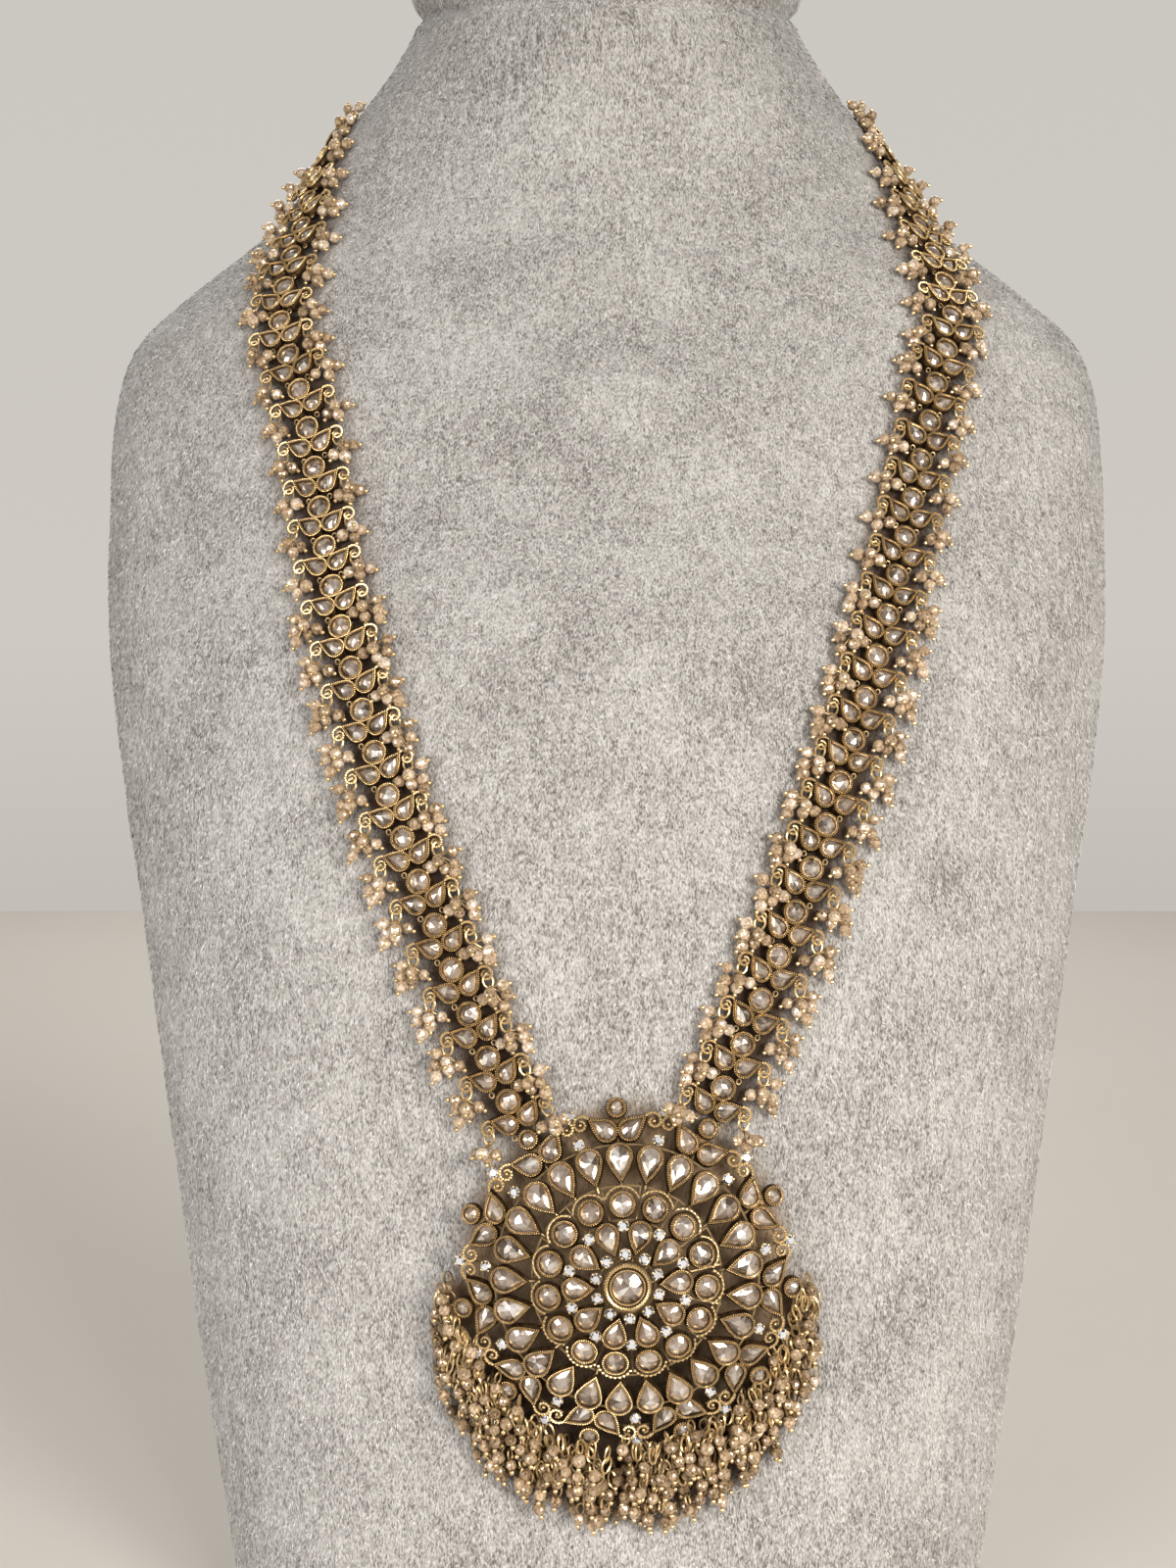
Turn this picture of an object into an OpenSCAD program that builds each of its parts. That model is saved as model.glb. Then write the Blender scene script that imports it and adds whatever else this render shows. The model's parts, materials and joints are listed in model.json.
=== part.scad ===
// Long necklace with a domed medallion and a bead fringe, on a plush neck bust.
// Millimetres, +Z up, the front faces -Y, the origin is under the middle of the bust's base.

/* [Bust] */
// Height of the bust at the middle of its collar
bust_h = 474; // [462:1:486]
// Half of the width across the shoulders
shoulder_half_w = 146; // [142:0.5:150]
// Distance from the bust to the back of what lies on it
lift = 0.8; // [0.5:0.1:1.5]

/* [Strap] */
// Number of links in each strap
links_per_side = 28; // [26:1:29]
// Number of links, counted from the medallion, that are nodes of their own
single_links = 18; // [18:1:18]
// Distance from one link to the next
link_pitch = 12; // [11.8:0.05:12.2]
// Radius of a link's round setting
link_round_r = 3.3; // [3.1:0.05:3.4]
// Radius of the round end of a link's pear setting
link_pear_r = 2.75; // [2.7:0.05:2.85]
// Distance from the middle of a pear's round end to its tip
link_pear_tip = 5.2; // [4.8:0.1:5.4]
// Height of a link's settings
link_h = 2.4; // [2:0.1:2.8]
// Middle radius of the scroll at each tip
scroll_r = 1.55; // [1.4:0.05:1.6]
// Diameter of the scroll's wire
scroll_wire_d = 0.9; // [0.7:0.05:1]
// Diameter of a bead
bead_d = 3; // [2.6:0.1:3.1]

/* [Medallion] */
// Distance from the middle to the small round settings at the edge
edge_r = 41.5; // [41:0.1:42]
// Rise of the dome from its rim to its middle
dome_rise = 14; // [10:0.5:15]
// Radius of the dome's rim
dome_rim_r = 43; // [42:0.5:44]
// Height of the settings
setting_h = 2.4; // [2:0.1:2.8]
// Wall of a setting
setting_wall = 0.9; // [0.7:0.05:1]
// Diameter of the wires that join the settings
gallery_wire_d = 1.3; // [1:0.1:1.5]
// Number of units round the edge
edge_units = 11; // [11:1:11]
// Height of the medallion's middle above the base
medallion_z = 114; // [112:0.5:116]
// Place of the medallion's middle across the bust
medallion_x = 4.2; // [2:0.1:6]

/* [Fringe] */
// Radius of the fringe's outline
fringe_r = 52; // [50:0.5:53]
// Distance of the outline's middle below the medallion's middle
fringe_drop = 14.5; // [13:0.5:16]
// Thickness of the fringe at the medallion
fringe_thick = 8.5; // [7:0.5:9]
// Thickness of the fringe at its outer edge
fringe_edge_thick = 4; // [3:0.5:5]

/* [Back chain] */
// Diameter of the chain behind the neck
chain_d = 3; // [2.6:0.1:3.2]
// Length of the clasp
clasp_l = 14; // [12:0.5:16]
// Diameter of the clasp
clasp_d = 5; // [4.5:0.1:5.5]

/* [Hidden] */
$fn = 32;
gap = 0.3;
stone_gap = 0.1;
setting_floor = 0.6;
gold = [0.72, 0.56, 0.27];
stone_colour = [0.8, 0.74, 0.66];
crystal_colour = [0.95, 0.95, 0.97];
bead_colour = [0.88, 0.73, 0.6];
plush_colour = [0.78, 0.75, 0.71];

// Sections of the bust, one row each, in heights of the bust as first measured.
// The collar is cut on a slant, so a section rises by some mm for each mm that it goes back.
HEIGHT = 0;
HALF_W = 1;
MID_Y = 2;
FRONT = 3;
BACK = 4;
RISE = 5;
bust_rows_h = 474;
bust_rows_half_w = 146;
bust_rows = [
    // height, half width, y of the widest line, depth in front of it, depth behind it, rise
    [  0,   103,   -27.5,   65,   88,   0],
    [ 75,   115.5, -19.5,   70,   85,   0],
    [190,   132.5,  -5.5,   78,   76,   0],
    [268,   145,    10.5,   75,   63,   0],
    [313,   146,    17.5,   63,   60,   0],
    [340,   145,    22.5,   58.5, 62,   0],
    [360,   139.5,  27.5,   55,   64,   0.02],
    [376,   123,    31.5,   54,   65,   0.04],
    [392,   104,    35.5,   53,   65,   0.06],
    [410,    89,    39.5,   53,   62,   0.09],
    [427,    77.5,  42.5,   54,   58,   0.12],
    [440,    68,    44.5,   55.5, 56,   0.15],
    [452,    60.5,  45.5,   56.5, 56,   0.17],
    [461,    56.5,  45.5,   56,   55.5, 0.17],
    [464,    58,    45.5,   57.5, 57,   0.17],
    [468,    59,    45.5,   58.5, 58,   0.17],
    [472,    57.5,  45.5,   57,   56.5, 0.17],
    [474,    54,    45.5,   53.5, 53,   0.17],
];
bust_top = len(bust_rows) - 1;
height_scale = bust_h / bust_rows_h;
width_scale = shoulder_half_w / bust_rows_half_w;
bust_ring_step = 13;
bust_ring_points = 44;

// Where each strap, and then the chain, runs on the bust up to the middle of its back:
// height of the section and turn round it from the front.
LEFT = -1;
RIGHT = 1;
left_route = [
    [146.5, 9], [168, 13.7], [201, 19.2], [234, 24], [267, 27.8], [298, 31.1], [330, 33.9],
    [352, 38], [373, 45.5], [392, 56.5], [407, 68.5], [418, 81], [424, 95], [426, 110], [425, 125],
    [424, 140], [423, 155], [422, 168], [422, 180],
];
right_route = [
    [149.5, 10.6], [171, 14.8], [204, 20.4], [237, 25], [268, 28.7], [299, 32.6], [328, 36.2],
    [350, 40], [372, 48], [391, 59], [406, 69.5], [418, 81], [424, 95], [426, 110], [425, 125],
    [424, 140], [423, 155], [422, 168], [422, 180],
];
route_samples = 12;
link_frame_step = 0.05;
// Step for slopes of the bust's surface, in mm of height and in degrees of turn.
probe = 0.5;

// Places in one link, from the middle of its round setting: the next link is below it.
pear_x = 2.7;
pear_y = -5.35;
pear_turn = 37;
scroll_x = 8.2;
scroll_y = -5;
// The wire from a pear's tip to its scroll starts this share of its length inside the tip.
bar_root = 0.08;
bar_extra_w = 0.2;
// Shares of a pear's radius: half width and height of its shoulders, half width of its tip.
pear_shoulder = 0.92;
pear_shoulder_h = 0.18;
pear_tip_w = 0.18;
// The wall at a pear's tip is thicker by this factor.
tip_wall_share = 1.6;
solder_plate = [3.4, 3.6, setting_floor];
// Rods that join the upper links: their width, and how far they reach into each link.
rod_w = 1.2;
rod_start = 0.9;
rod_end = 0.4;
joining_ring = [3.04, -9.03];
joining_ring_r = 0.48;
joining_wire_d = 0.35;
jump_ring_r = 1.4;
jump_wire_d = 0.6;
jump_ring_drop = 1.45;
jump_ring_out = 0.35;
// Drops of one cluster: turn of the pin from straight down, and its length to the bead's middle.
// From this link on the strap bends round the neck, and the pins are shorter and lean out more.
neck_link = 14;
cluster = [[-42, 4.7], [0, 4.4], [42, 4.7]];
neck_cluster = [[-62, 3.6], [0, 3.5], [62, 3.6]];
pin_d = 0.5;
pin_start = 0.9;
// Least and most that a cluster leans out of the strap, as sines.
cluster_lean = [0.26, 0.8];
neck_cluster_lean = [0.6, 0.8];
// The first link's drops lie on the medallion's edge.
first_cluster_rise = 4.3;

// Medallion: each ring of settings has its distance, its number and the turn of its first one.
first_turn = 93.5;
inner_pear_ring = [11.8, 10, 112];
round_ring = [19.3, 15, first_turn];
outer_pear_ring = [28.8, 25, first_turn];
centre_r = 5.9;
centre_stone_r = 4;
inner_pear = [2.95, 4.65];
outer_pear = [3.4, 6.5];
round_setting_r = 3.65;
edge_round_r = 2.4;
edge_pear_tip = 5.4;
scallop_r = 4.4;
scallop_half_turn = 62;
scallop_z = 0.9;
centre_extra_h = 0.4;
crystal_r = 1.25;
crystal_h = 0.9;
crystal_cup_r = 1.5;
crystal_cup_h = setting_h - 0.5;
inner_crystal_r = 7.7;
middle_crystal_r = 14.3;
edge_crystal_r = [34.7, 41.4];
// Wires behind the settings: rings, and spokes with their start, end, number and first turn.
gallery_r = [7, 15.6, 23.7, 33.2, 38.5];
gallery_spokes = [
    [5, 16, inner_pear_ring[1], inner_pear_ring[2]],
    [15, 24, 15, first_turn + 12],
    [32.8, 42.6, edge_units, first_turn + 180 / edge_units],
    [32.8, 39, edge_units, first_turn],
];
medallion_lean = 3.2;
medallion_seat = 1;
edge_scroll = [8.6, -3.6];
fringe_inner_r = 45.1;
fringe_turns = [-186, -4];
fringe_steps = 30;
fringe_rows = 4;

single_link_names = [
    for (side = ["left", "right"]) for (i = [1:single_links])
        str("link_", side, "_", i < 10 ? "0" : "", i)
];

// Curve helpers
function unit(v) = v / norm(v);
function hermite(p, q, dp, dq, t) =
    p * (2 * t ^ 3 - 3 * t ^ 2 + 1) + dp * (t ^ 3 - 2 * t ^ 2 + t)
    + q * (3 * t ^ 2 - 2 * t ^ 3) + dq * (t ^ 3 - t ^ 2);

// Surface of the bust
function row_below(z, i = 0) =
    i >= bust_top - 1 || z < bust_rows[i + 1][HEIGHT] ? i : row_below(z, i + 1);
function row_slope(i) =
    let (a = bust_rows[max(i - 1, 0)], b = bust_rows[min(i + 1, bust_top)])
    (b - a) / (b[HEIGHT] - a[HEIGHT]);
function section(z) =
    let (i = row_below(z), p = bust_rows[i], q = bust_rows[i + 1], h = q[HEIGHT] - p[HEIGHT])
    hermite(p, q, row_slope(i) * h, row_slope(i + 1) * h, (z - p[HEIGHT]) / h);
function on_bust(z, turn) =
    let (s = section(z), back = -cos(turn) * (cos(turn) > 0 ? s[FRONT] : s[BACK]))
    [s[HALF_W] * sin(turn) * width_scale, s[MID_Y] + back, (z + s[RISE] * back) * height_scale];
function bust_normal(z, turn) =
    unit(cross(on_bust(z, turn + probe) - on_bust(z, turn - probe),
               on_bust(z + probe, turn) - on_bust(z - probe, turn)));
function off_bust(z, turn, distance) = on_bust(z, turn) + distance * bust_normal(z, turn);
// The height and turn that a step v over the bust leads to
function stepped(z, turn, v) =
    let (dz = (on_bust(z + probe, turn) - on_bust(z - probe, turn)) / (2 * probe),
         dt = (on_bust(z, turn + probe) - on_bust(z, turn - probe)) / (2 * probe),
         a = dz * dz, b = dz * dt, c = dt * dt, p = v * dz, q = v * dt, det = a * c - b * b)
    [z + (p * c - q * b) / det, turn + (q * a - p * b) / det];
// The point of the front at a place across and a height, moved forward.
function before_bust(x, z, distance) =
    let (s = section(z / height_scale), share = x / (s[HALF_W] * width_scale))
    [x, s[MID_Y] - s[FRONT] * sqrt(1 - share * share) - distance, z];

// Route of a strap: a smooth curve through its rows, measured along its length
function route(rows, u) =
    let (last = len(rows) - 1, i = min(floor(u), last - 1), t = u - i,
         a = rows[max(i - 1, 0)], p = rows[i], q = rows[i + 1], b = rows[min(i + 2, last)])
    hermite(p, q, (q - a) / 2, (b - p) / 2, t);
function route_point(rows, side, u, distance) =
    let (r = route(rows, u)) off_bust(r[0], side * r[1], distance);
function route_lengths(rows, side) =
    let (n = (len(rows) - 1) * route_samples,
         points = [for (i = [0:n]) route_point(rows, side, i / route_samples, lift)])
    [for (i = 0, s = 0; i <= n; s = s + (i < n ? norm(points[i + 1] - points[i]) : 0), i = i + 1)
        [s, i / route_samples]];
left_lengths = route_lengths(left_route, LEFT);
right_lengths = route_lengths(right_route, RIGHT);
function strap_route(side) = side == LEFT ? left_route : right_route;
function strap_lengths(side) = side == LEFT ? left_lengths : right_lengths;

// Frame of link i: where it is, across it, along it towards the neck, and out of the bust
function link_u(side, i) = lookup(i * link_pitch, strap_lengths(side));
function link_place(side, i) =
    let (rows = strap_route(side), u = link_u(side, i), r = route(rows, u),
         along = unit(route_point(rows, side, u + link_frame_step, lift)
                      - route_point(rows, side, u - link_frame_step, lift)),
         across = unit(cross(along, bust_normal(r[0], side * r[1]))))
    [route_point(rows, side, u, lift), across, along, cross(across, along)];
function placed(frame, p) = frame[0] + p[0] * frame[1] + p[1] * frame[2] + p[2] * frame[3];
// A point over the bust, at a step v from the middle of link i
function beside_link(side, i, v, distance) =
    let (r = route(strap_route(side), link_u(side, i)), at = stepped(r[0], side * r[1], v))
    off_bust(at[0], at[1], distance);
// The way that a drop hangs from a link: down, but never over the strap
function hang(frame, hand, leans) =
    let (lean = min(max(-hand * frame[1].z, leans[0]), leans[1]))
    lean * hand * frame[1] - sqrt(1 - lean * lean) * frame[2];

module at_link(side, i) {
    f = link_place(side, i);
    multmatrix([[f[1].x, f[2].x, f[3].x, f[0].x],
                [f[1].y, f[2].y, f[3].y, f[0].y],
                [f[1].z, f[2].z, f[3].z, f[0].z],
                [0, 0, 0, 1]])
        children();
}

module mirrored() {
    children();
    mirror([1, 0, 0]) children();
}

module wire_ring(r, d) {
    rotate_extrude() translate([r, 0]) circle(d = d);
}

// A flat wire bent to an arc about the Z axis, and a straight one, both of square section
module band(r, w, angle = 360) {
    rotate_extrude(angle = angle) translate([r - w / 2, -w / 2]) square(w);
}

module bar(a, b, w) {
    v = b - a;
    translate(a)
        rotate([0, acos(v.z / norm(v)), atan2(v.y, v.x)])
            translate([-w / 2, -w / 2, 0]) cube([w, w, norm(v)]);
}

// A pear outline with the middle of its round end at the origin and its tip along +Y.
module pear_outline(r, tip) {
    shoulder = [pear_shoulder * r, pear_shoulder_h * r];
    tip_end = [pear_tip_w * r, tip];
    circle(r);
    polygon([[-shoulder.x, shoulder.y], shoulder, tip_end, [-tip_end.x, tip_end.y]]);
}

module cup(h) {
    difference() {
        linear_extrude(h) children(0);
        translate([0, 0, setting_floor]) linear_extrude(h) children(1);
    }
}

module round_cup(r, h) {
    cup(h) {
        circle(r);
        circle(r - setting_wall);
    }
}

module pear_cup(r, tip, h) {
    cup(h) {
        pear_outline(r, tip);
        pear_outline(r - setting_wall, tip - tip_wall_share * setting_wall);
    }
}

module round_stone(r, h) {
    translate([0, 0, setting_floor + stone_gap])
        cylinder(r = r - setting_wall - stone_gap, h = h - setting_floor);
}

module pear_stone(r, tip, h) {
    translate([0, 0, setting_floor + stone_gap])
        linear_extrude(h - setting_floor)
            pear_outline(r - setting_wall - stone_gap,
                         tip - tip_wall_share * setting_wall - 2 * stone_gap);
}

// The V of two pears under a round setting, as in a link and at the medallion's edge.
module at_pears() {
    mirrored() translate([pear_x, pear_y, 0]) rotate(pear_turn - 90) children();
}

module v_metal(round_r, tip, h, scroll_place) {
    round_cup(round_r, h);
    at_pears() pear_cup(link_pear_r, tip, h);
    translate([-solder_plate.x / 2, pear_y + link_pear_r - solder_plate.y / 2, 0])
        cube(solder_plate);
    mirrored() {
        tip_end = [pear_x + tip * cos(pear_turn), pear_y + tip * sin(pear_turn), h / 2];
        centre = [scroll_place.x, scroll_place.y, h / 2];
        translate(centre) band(scroll_r, scroll_wire_d);
        bar(tip_end - bar_root * (centre - tip_end), centre + scroll_r * unit(tip_end - centre),
            scroll_wire_d + bar_extra_w);
    }
}

module v_stones(round_r, tip, h) {
    round_stone(round_r, h);
    at_pears() pear_stone(link_pear_r, tip, h);
}

// Strap
module link_metal() {
    v_metal(link_round_r, link_pear_tip, link_h, [scroll_x, scroll_y]);
}

module strap_link(side, i) {
    color(gold) at_link(side, i) link_metal();
}

module link_joint() {
    mirrored()
        translate([joining_ring.x, joining_ring.y, link_h / 2])
            wire_ring(joining_ring_r, joining_wire_d);
}

module joining_rings(side) {
    color(gold)
        for (i = [1:single_links]) at_link(side, i) link_joint();
}

// The upper links, joined along the strap by the rods that stand for their rings.
module strap_top(side) {
    color(gold)
        for (i = [single_links + 1:links_per_side]) {
            at_link(side, i) link_metal();
            if (i > single_links + 1)
                bar(placed(link_place(side, i), [0, pear_y - rod_start, link_h / 2]),
                    placed(link_place(side, i - 1), [0, link_round_r - rod_end, link_h / 2]), rod_w);
        }
}

module link_stones(side) {
    color(stone_colour)
        for (i = [1:links_per_side])
            at_link(side, i) v_stones(link_round_r, link_pear_tip, link_h);
}

module pin(a, b) {
    v = b - a;
    translate(a) rotate([0, acos(v.z / norm(v)), atan2(v.y, v.x)]) cylinder(d = pin_d, h = norm(v));
}

// A jump ring through each scroll, and three beads that hang from it on pins.
module bead_cluster(side, i, hand) {
    frame = link_place(side, i);
    out = frame[3];
    short = i == 1 || i >= neck_link;
    down = hang(frame, hand, short ? neck_cluster_lean : cluster_lean);
    across = cross(out, down);
    scroll = [hand * scroll_x, scroll_y, link_h / 2];
    ring_centre = placed(frame, scroll) + jump_ring_drop * down + jump_ring_out * out;
    ring_bottom = ring_centre + jump_ring_r * down;
    multmatrix([[out.x, down.x, across.x, ring_centre.x],
                [out.y, down.y, across.y, ring_centre.y],
                [out.z, down.z, across.z, ring_centre.z],
                [0, 0, 0, 1]])
        wire_ring(jump_ring_r, jump_wire_d);
    from_link = placed(frame, [scroll.x, scroll.y, 0]) - frame[0] + (jump_ring_drop + jump_ring_r) * down;
    level = lift + link_h / 2 + (i == 1 ? first_cluster_rise : 0);
    for (drop = short ? neck_cluster : cluster) {
        step = drop[1] * (cos(drop[0]) * down + sin(drop[0]) * across);
        bead = beside_link(side, i, from_link + step, level);
        way = unit(bead - ring_bottom);
        pin(ring_bottom + pin_start * way, bead - (bead_d / 2 + stone_gap) * way);
        translate(bead) sphere(d = bead_d);
    }
}

module bead_drops(side) {
    color(bead_colour)
        for (i = [1:links_per_side]) for (hand = [-1, 1]) bead_cluster(side, i, hand);
}

// Medallion, drawn flat with its dome towards +Z and stood up by at_medallion
function dome_z(r) = dome_rise * (1 - pow(r / dome_rim_r, 2));
function dome_slope(r) = atan(2 * dome_rise * r / pow(dome_rim_r, 2));

module at_medallion() {
    seat = before_bust(medallion_x, medallion_z, medallion_seat);
    translate(seat) rotate([90 - medallion_lean, 0, 0]) children();
}

module on_dome(r, turn) {
    rotate(turn) translate([r, 0, dome_z(r)]) rotate([0, dome_slope(r), 0]) rotate(-90) children();
}

module on_ring(ring) {
    for (i = [0:ring[1] - 1]) on_dome(ring[0], ring[2] + i * 360 / ring[1]) children();
}

module between_ring(r, ring) {
    for (i = [0:ring[1] - 1]) on_dome(r, ring[2] + (i + 0.5) * 360 / ring[1]) children();
}

module at_edge_units() {
    on_ring([edge_r, edge_units, first_turn]) children();
}

// Settings that point their tips to the middle
module inward(r, tip) {
    translate([0, (tip - r) / 2, 0]) rotate(180) children();
}

module at_crystals() {
    between_ring(inner_crystal_r, inner_pear_ring) children();
    between_ring(middle_crystal_r, inner_pear_ring) children();
    for (r = edge_crystal_r) between_ring(r, [edge_r, edge_units, first_turn]) children();
}

module gallery() {
    for (r = gallery_r)
        translate([0, 0, dome_z(r)]) band(r, gallery_wire_d);
    for (s = gallery_spokes) for (i = [0:s[2] - 1])
        rotate(s[3] + i * 360 / s[2])
            bar([s[0], 0, dome_z(s[0])], [s[1], 0, dome_z(s[1])], gallery_wire_d - 0.2);
}

module scallop() {
    translate([0, 0, scallop_z])
        rotate(90 - scallop_half_turn)
            band(scallop_r, gallery_wire_d - 0.1, 2 * scallop_half_turn);
}

module medallion_frame() {
    color(gold) at_medallion() {
        gallery();
        translate([0, 0, dome_z(0)]) cup(setting_h + centre_extra_h) {
            circle(centre_r);
            circle(centre_stone_r + stone_gap);
        }
        on_ring(inner_pear_ring)
            inward(inner_pear[0], inner_pear[1]) pear_cup(inner_pear[0], inner_pear[1], setting_h);
        on_ring(round_ring) {
            round_cup(round_setting_r, setting_h);
            scallop();
        }
        on_ring(outer_pear_ring)
            inward(outer_pear[0], outer_pear[1]) pear_cup(outer_pear[0], outer_pear[1], setting_h);
        at_edge_units() v_metal(edge_round_r, edge_pear_tip, setting_h, edge_scroll);
        at_crystals() cylinder(r = crystal_cup_r, h = crystal_cup_h);
    }
}

module centre_stone() {
    color(stone_colour) at_medallion()
        translate([0, 0, dome_z(0) + setting_floor + stone_gap])
            cylinder(r = centre_stone_r, h = setting_h);
}

module inner_pear_stones() {
    color(stone_colour) at_medallion() on_ring(inner_pear_ring)
        inward(inner_pear[0], inner_pear[1]) pear_stone(inner_pear[0], inner_pear[1], setting_h);
}

module round_stones() {
    color(stone_colour) at_medallion() on_ring(round_ring)
        round_stone(round_setting_r, setting_h);
}

module outer_pear_stones() {
    color(stone_colour) at_medallion() on_ring(outer_pear_ring)
        inward(outer_pear[0], outer_pear[1]) pear_stone(outer_pear[0], outer_pear[1], setting_h);
}

module edge_pear_stones() {
    color(stone_colour) at_medallion() at_edge_units()
        at_pears() pear_stone(link_pear_r, edge_pear_tip, setting_h);
}

module edge_round_stones() {
    color(stone_colour) at_medallion() at_edge_units() round_stone(edge_round_r, setting_h);
}

module crystals() {
    color(crystal_colour) at_medallion() at_crystals()
        translate([0, 0, crystal_cup_h + stone_gap]) cylinder(r = crystal_r, h = crystal_h);
}

// Fringe: the outer form of the mass of bead drops, laid on the bust below the medallion
function fringe_outer(turn) =
    let (below = fringe_drop * sin(turn))
    -below + sqrt(fringe_r * fringe_r - pow(fringe_drop * cos(turn), 2));
function fringe_point(turn, share, distance) =
    let (r = fringe_inner_r + share * (fringe_outer(turn) - fringe_inner_r))
    before_bust(medallion_x + r * cos(turn), medallion_z + r * sin(turn), distance);
function fringe_ring(turn) = concat(
    [for (k = [0:fringe_rows]) fringe_point(turn, k / fringe_rows, lift)],
    [for (k = [fringe_rows:-1:0]) let (share = k / fringe_rows)
        fringe_point(turn, share,
                     lift + fringe_thick + (fringe_edge_thick - fringe_thick) * share * share)]);

module medallion_fringe() {
    rings = [for (i = [0:fringe_steps])
        fringe_ring(fringe_turns[0] + (fringe_turns[1] - fringe_turns[0]) * i / fringe_steps)];
    color(bead_colour) swept(rings);
}

// A closed skin over rings of points, each ring turning the same way
module swept(rings) {
    n = len(rings[0]);
    last = len(rings) - 1;
    points = [for (ring = rings) each ring];
    sides = [for (i = [0:last - 1]) for (k = [0:n - 1])
        let (m = (k + 1) % n) each [[i * n + k, i * n + m, (i + 1) * n + m],
                                    [i * n + k, (i + 1) * n + m, (i + 1) * n + k]]];
    first_cap = [for (k = [n - 1:-1:0]) k];
    last_cap = [for (k = [0:n - 1]) last * n + k];
    polyhedron(points, concat([first_cap], sides, [last_cap]), convexity = 6);
}

// Bust
function bust_heights() = concat(
    [for (i = [0:bust_top - 1])
        let (a = bust_rows[i][HEIGHT], b = bust_rows[i + 1][HEIGHT], n = ceil((b - a) / bust_ring_step))
        each [for (k = [0:n - 1]) a + (b - a) * k / n]],
    [bust_rows[bust_top][HEIGHT]]);

module neck_bust() {
    rings = [for (z = bust_heights())
        [for (k = [0:bust_ring_points - 1]) on_bust(z, k * 360 / bust_ring_points)]];
    color(plush_colour) swept(rings);
}

// Chain behind the neck: a tube that carries on from the strap's last link to the clasp
chain_sides = 8;
chain_steps = 22;
function chain_span(side) =
    let (lengths = strap_lengths(side), total = lengths[len(lengths) - 1][0])
    [links_per_side * link_pitch + link_round_r + gap, total - clasp_l / 2 - gap];
function chain_middle(side, s) =
    route_point(strap_route(side), side, lookup(s, strap_lengths(side)), chain_d / 2 + gap);
function chain_ring(side, s) =
    let (along = unit(chain_middle(side, s + 1) - chain_middle(side, s - 1)),
         across = unit(cross(along, [0, 0, 1])), up = cross(across, along))
    [for (k = [0:chain_sides - 1]) let (turn = k * 360 / chain_sides)
        chain_middle(side, s) + chain_d / 2 * (cos(turn) * across - sin(turn) * up)];

module back_chain(side) {
    span = chain_span(side);
    color(gold)
        swept([for (i = [0:chain_steps])
            chain_ring(side, span[0] + (span[1] - span[0]) * i / chain_steps)]);
}

module clasp() {
    end = left_route[len(left_route) - 1];
    middle = off_bust(end[0], end[1], clasp_d / 2 + gap);
    color(gold) translate(middle) rotate([0, 90, 0]) {
        cylinder(d = clasp_d, h = clasp_l - clasp_d, center = true);
        for (s = [-1, 1]) translate([0, 0, s * (clasp_l - clasp_d) / 2]) sphere(d = clasp_d);
    }
}

neck_bust();
medallion_frame();
centre_stone();
inner_pear_stones();
round_stones();
outer_pear_stones();
edge_pear_stones();
edge_round_stones();
crystals();
medallion_fringe();
strap_top(LEFT);  // strap_top_left
strap_top(RIGHT);  // strap_top_right
link_stones(LEFT);  // link_stones_left
link_stones(RIGHT);  // link_stones_right
joining_rings(LEFT);  // joining_rings_left
joining_rings(RIGHT);  // joining_rings_right
bead_drops(LEFT);  // bead_drops_left
bead_drops(RIGHT);  // bead_drops_right
back_chain(LEFT);  // back_chain_left
back_chain(RIGHT);  // back_chain_right
clasp();
for (i = [1:single_links]) {
    strap_link(LEFT, i);
    strap_link(RIGHT, i);
}
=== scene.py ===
# %% [markdown]
# # A long necklace on its neck bust
#
# The necklace is one loop: a domed round medallion with a fringe of glass drops, two straps of
# soldered links, and a fine chain behind the neck. It lies on a bust covered with short plush.
# The frame holds a plain solid for each piece. Here each one gets its real surface: milled wires,
# cut stones, beads on pins, curled wire ends and the pile of the plush. Sizes are in millimetres
# and become metres only when a mesh is made.

# %% Load the frame and the tools
import json
import math
import random

import bmesh
import bpy
import numpy as np
from mathutils import Matrix, Quaternion, Vector, noise

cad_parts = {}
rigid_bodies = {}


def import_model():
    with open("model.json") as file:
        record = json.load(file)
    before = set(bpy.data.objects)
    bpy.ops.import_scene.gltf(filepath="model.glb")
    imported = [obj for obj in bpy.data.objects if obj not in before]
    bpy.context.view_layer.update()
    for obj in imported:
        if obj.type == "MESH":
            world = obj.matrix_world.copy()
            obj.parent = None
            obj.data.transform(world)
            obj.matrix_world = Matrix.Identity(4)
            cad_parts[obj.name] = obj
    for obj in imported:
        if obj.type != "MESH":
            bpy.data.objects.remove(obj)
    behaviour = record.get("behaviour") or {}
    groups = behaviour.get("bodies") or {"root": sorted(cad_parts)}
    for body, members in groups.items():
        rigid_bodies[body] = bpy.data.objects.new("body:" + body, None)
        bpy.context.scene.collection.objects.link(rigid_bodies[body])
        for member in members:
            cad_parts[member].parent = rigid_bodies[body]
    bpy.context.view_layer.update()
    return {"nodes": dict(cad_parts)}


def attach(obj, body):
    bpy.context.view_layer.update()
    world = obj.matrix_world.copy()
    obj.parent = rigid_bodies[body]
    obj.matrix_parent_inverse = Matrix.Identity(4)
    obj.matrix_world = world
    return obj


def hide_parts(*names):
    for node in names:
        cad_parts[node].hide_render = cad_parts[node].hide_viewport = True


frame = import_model()
MM = 0.001
LEFT, RIGHT = -1, 1
SIDES = {LEFT: "left", RIGHT: "right"}
print("nodes in the frame:", len(frame["nodes"]))


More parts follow.
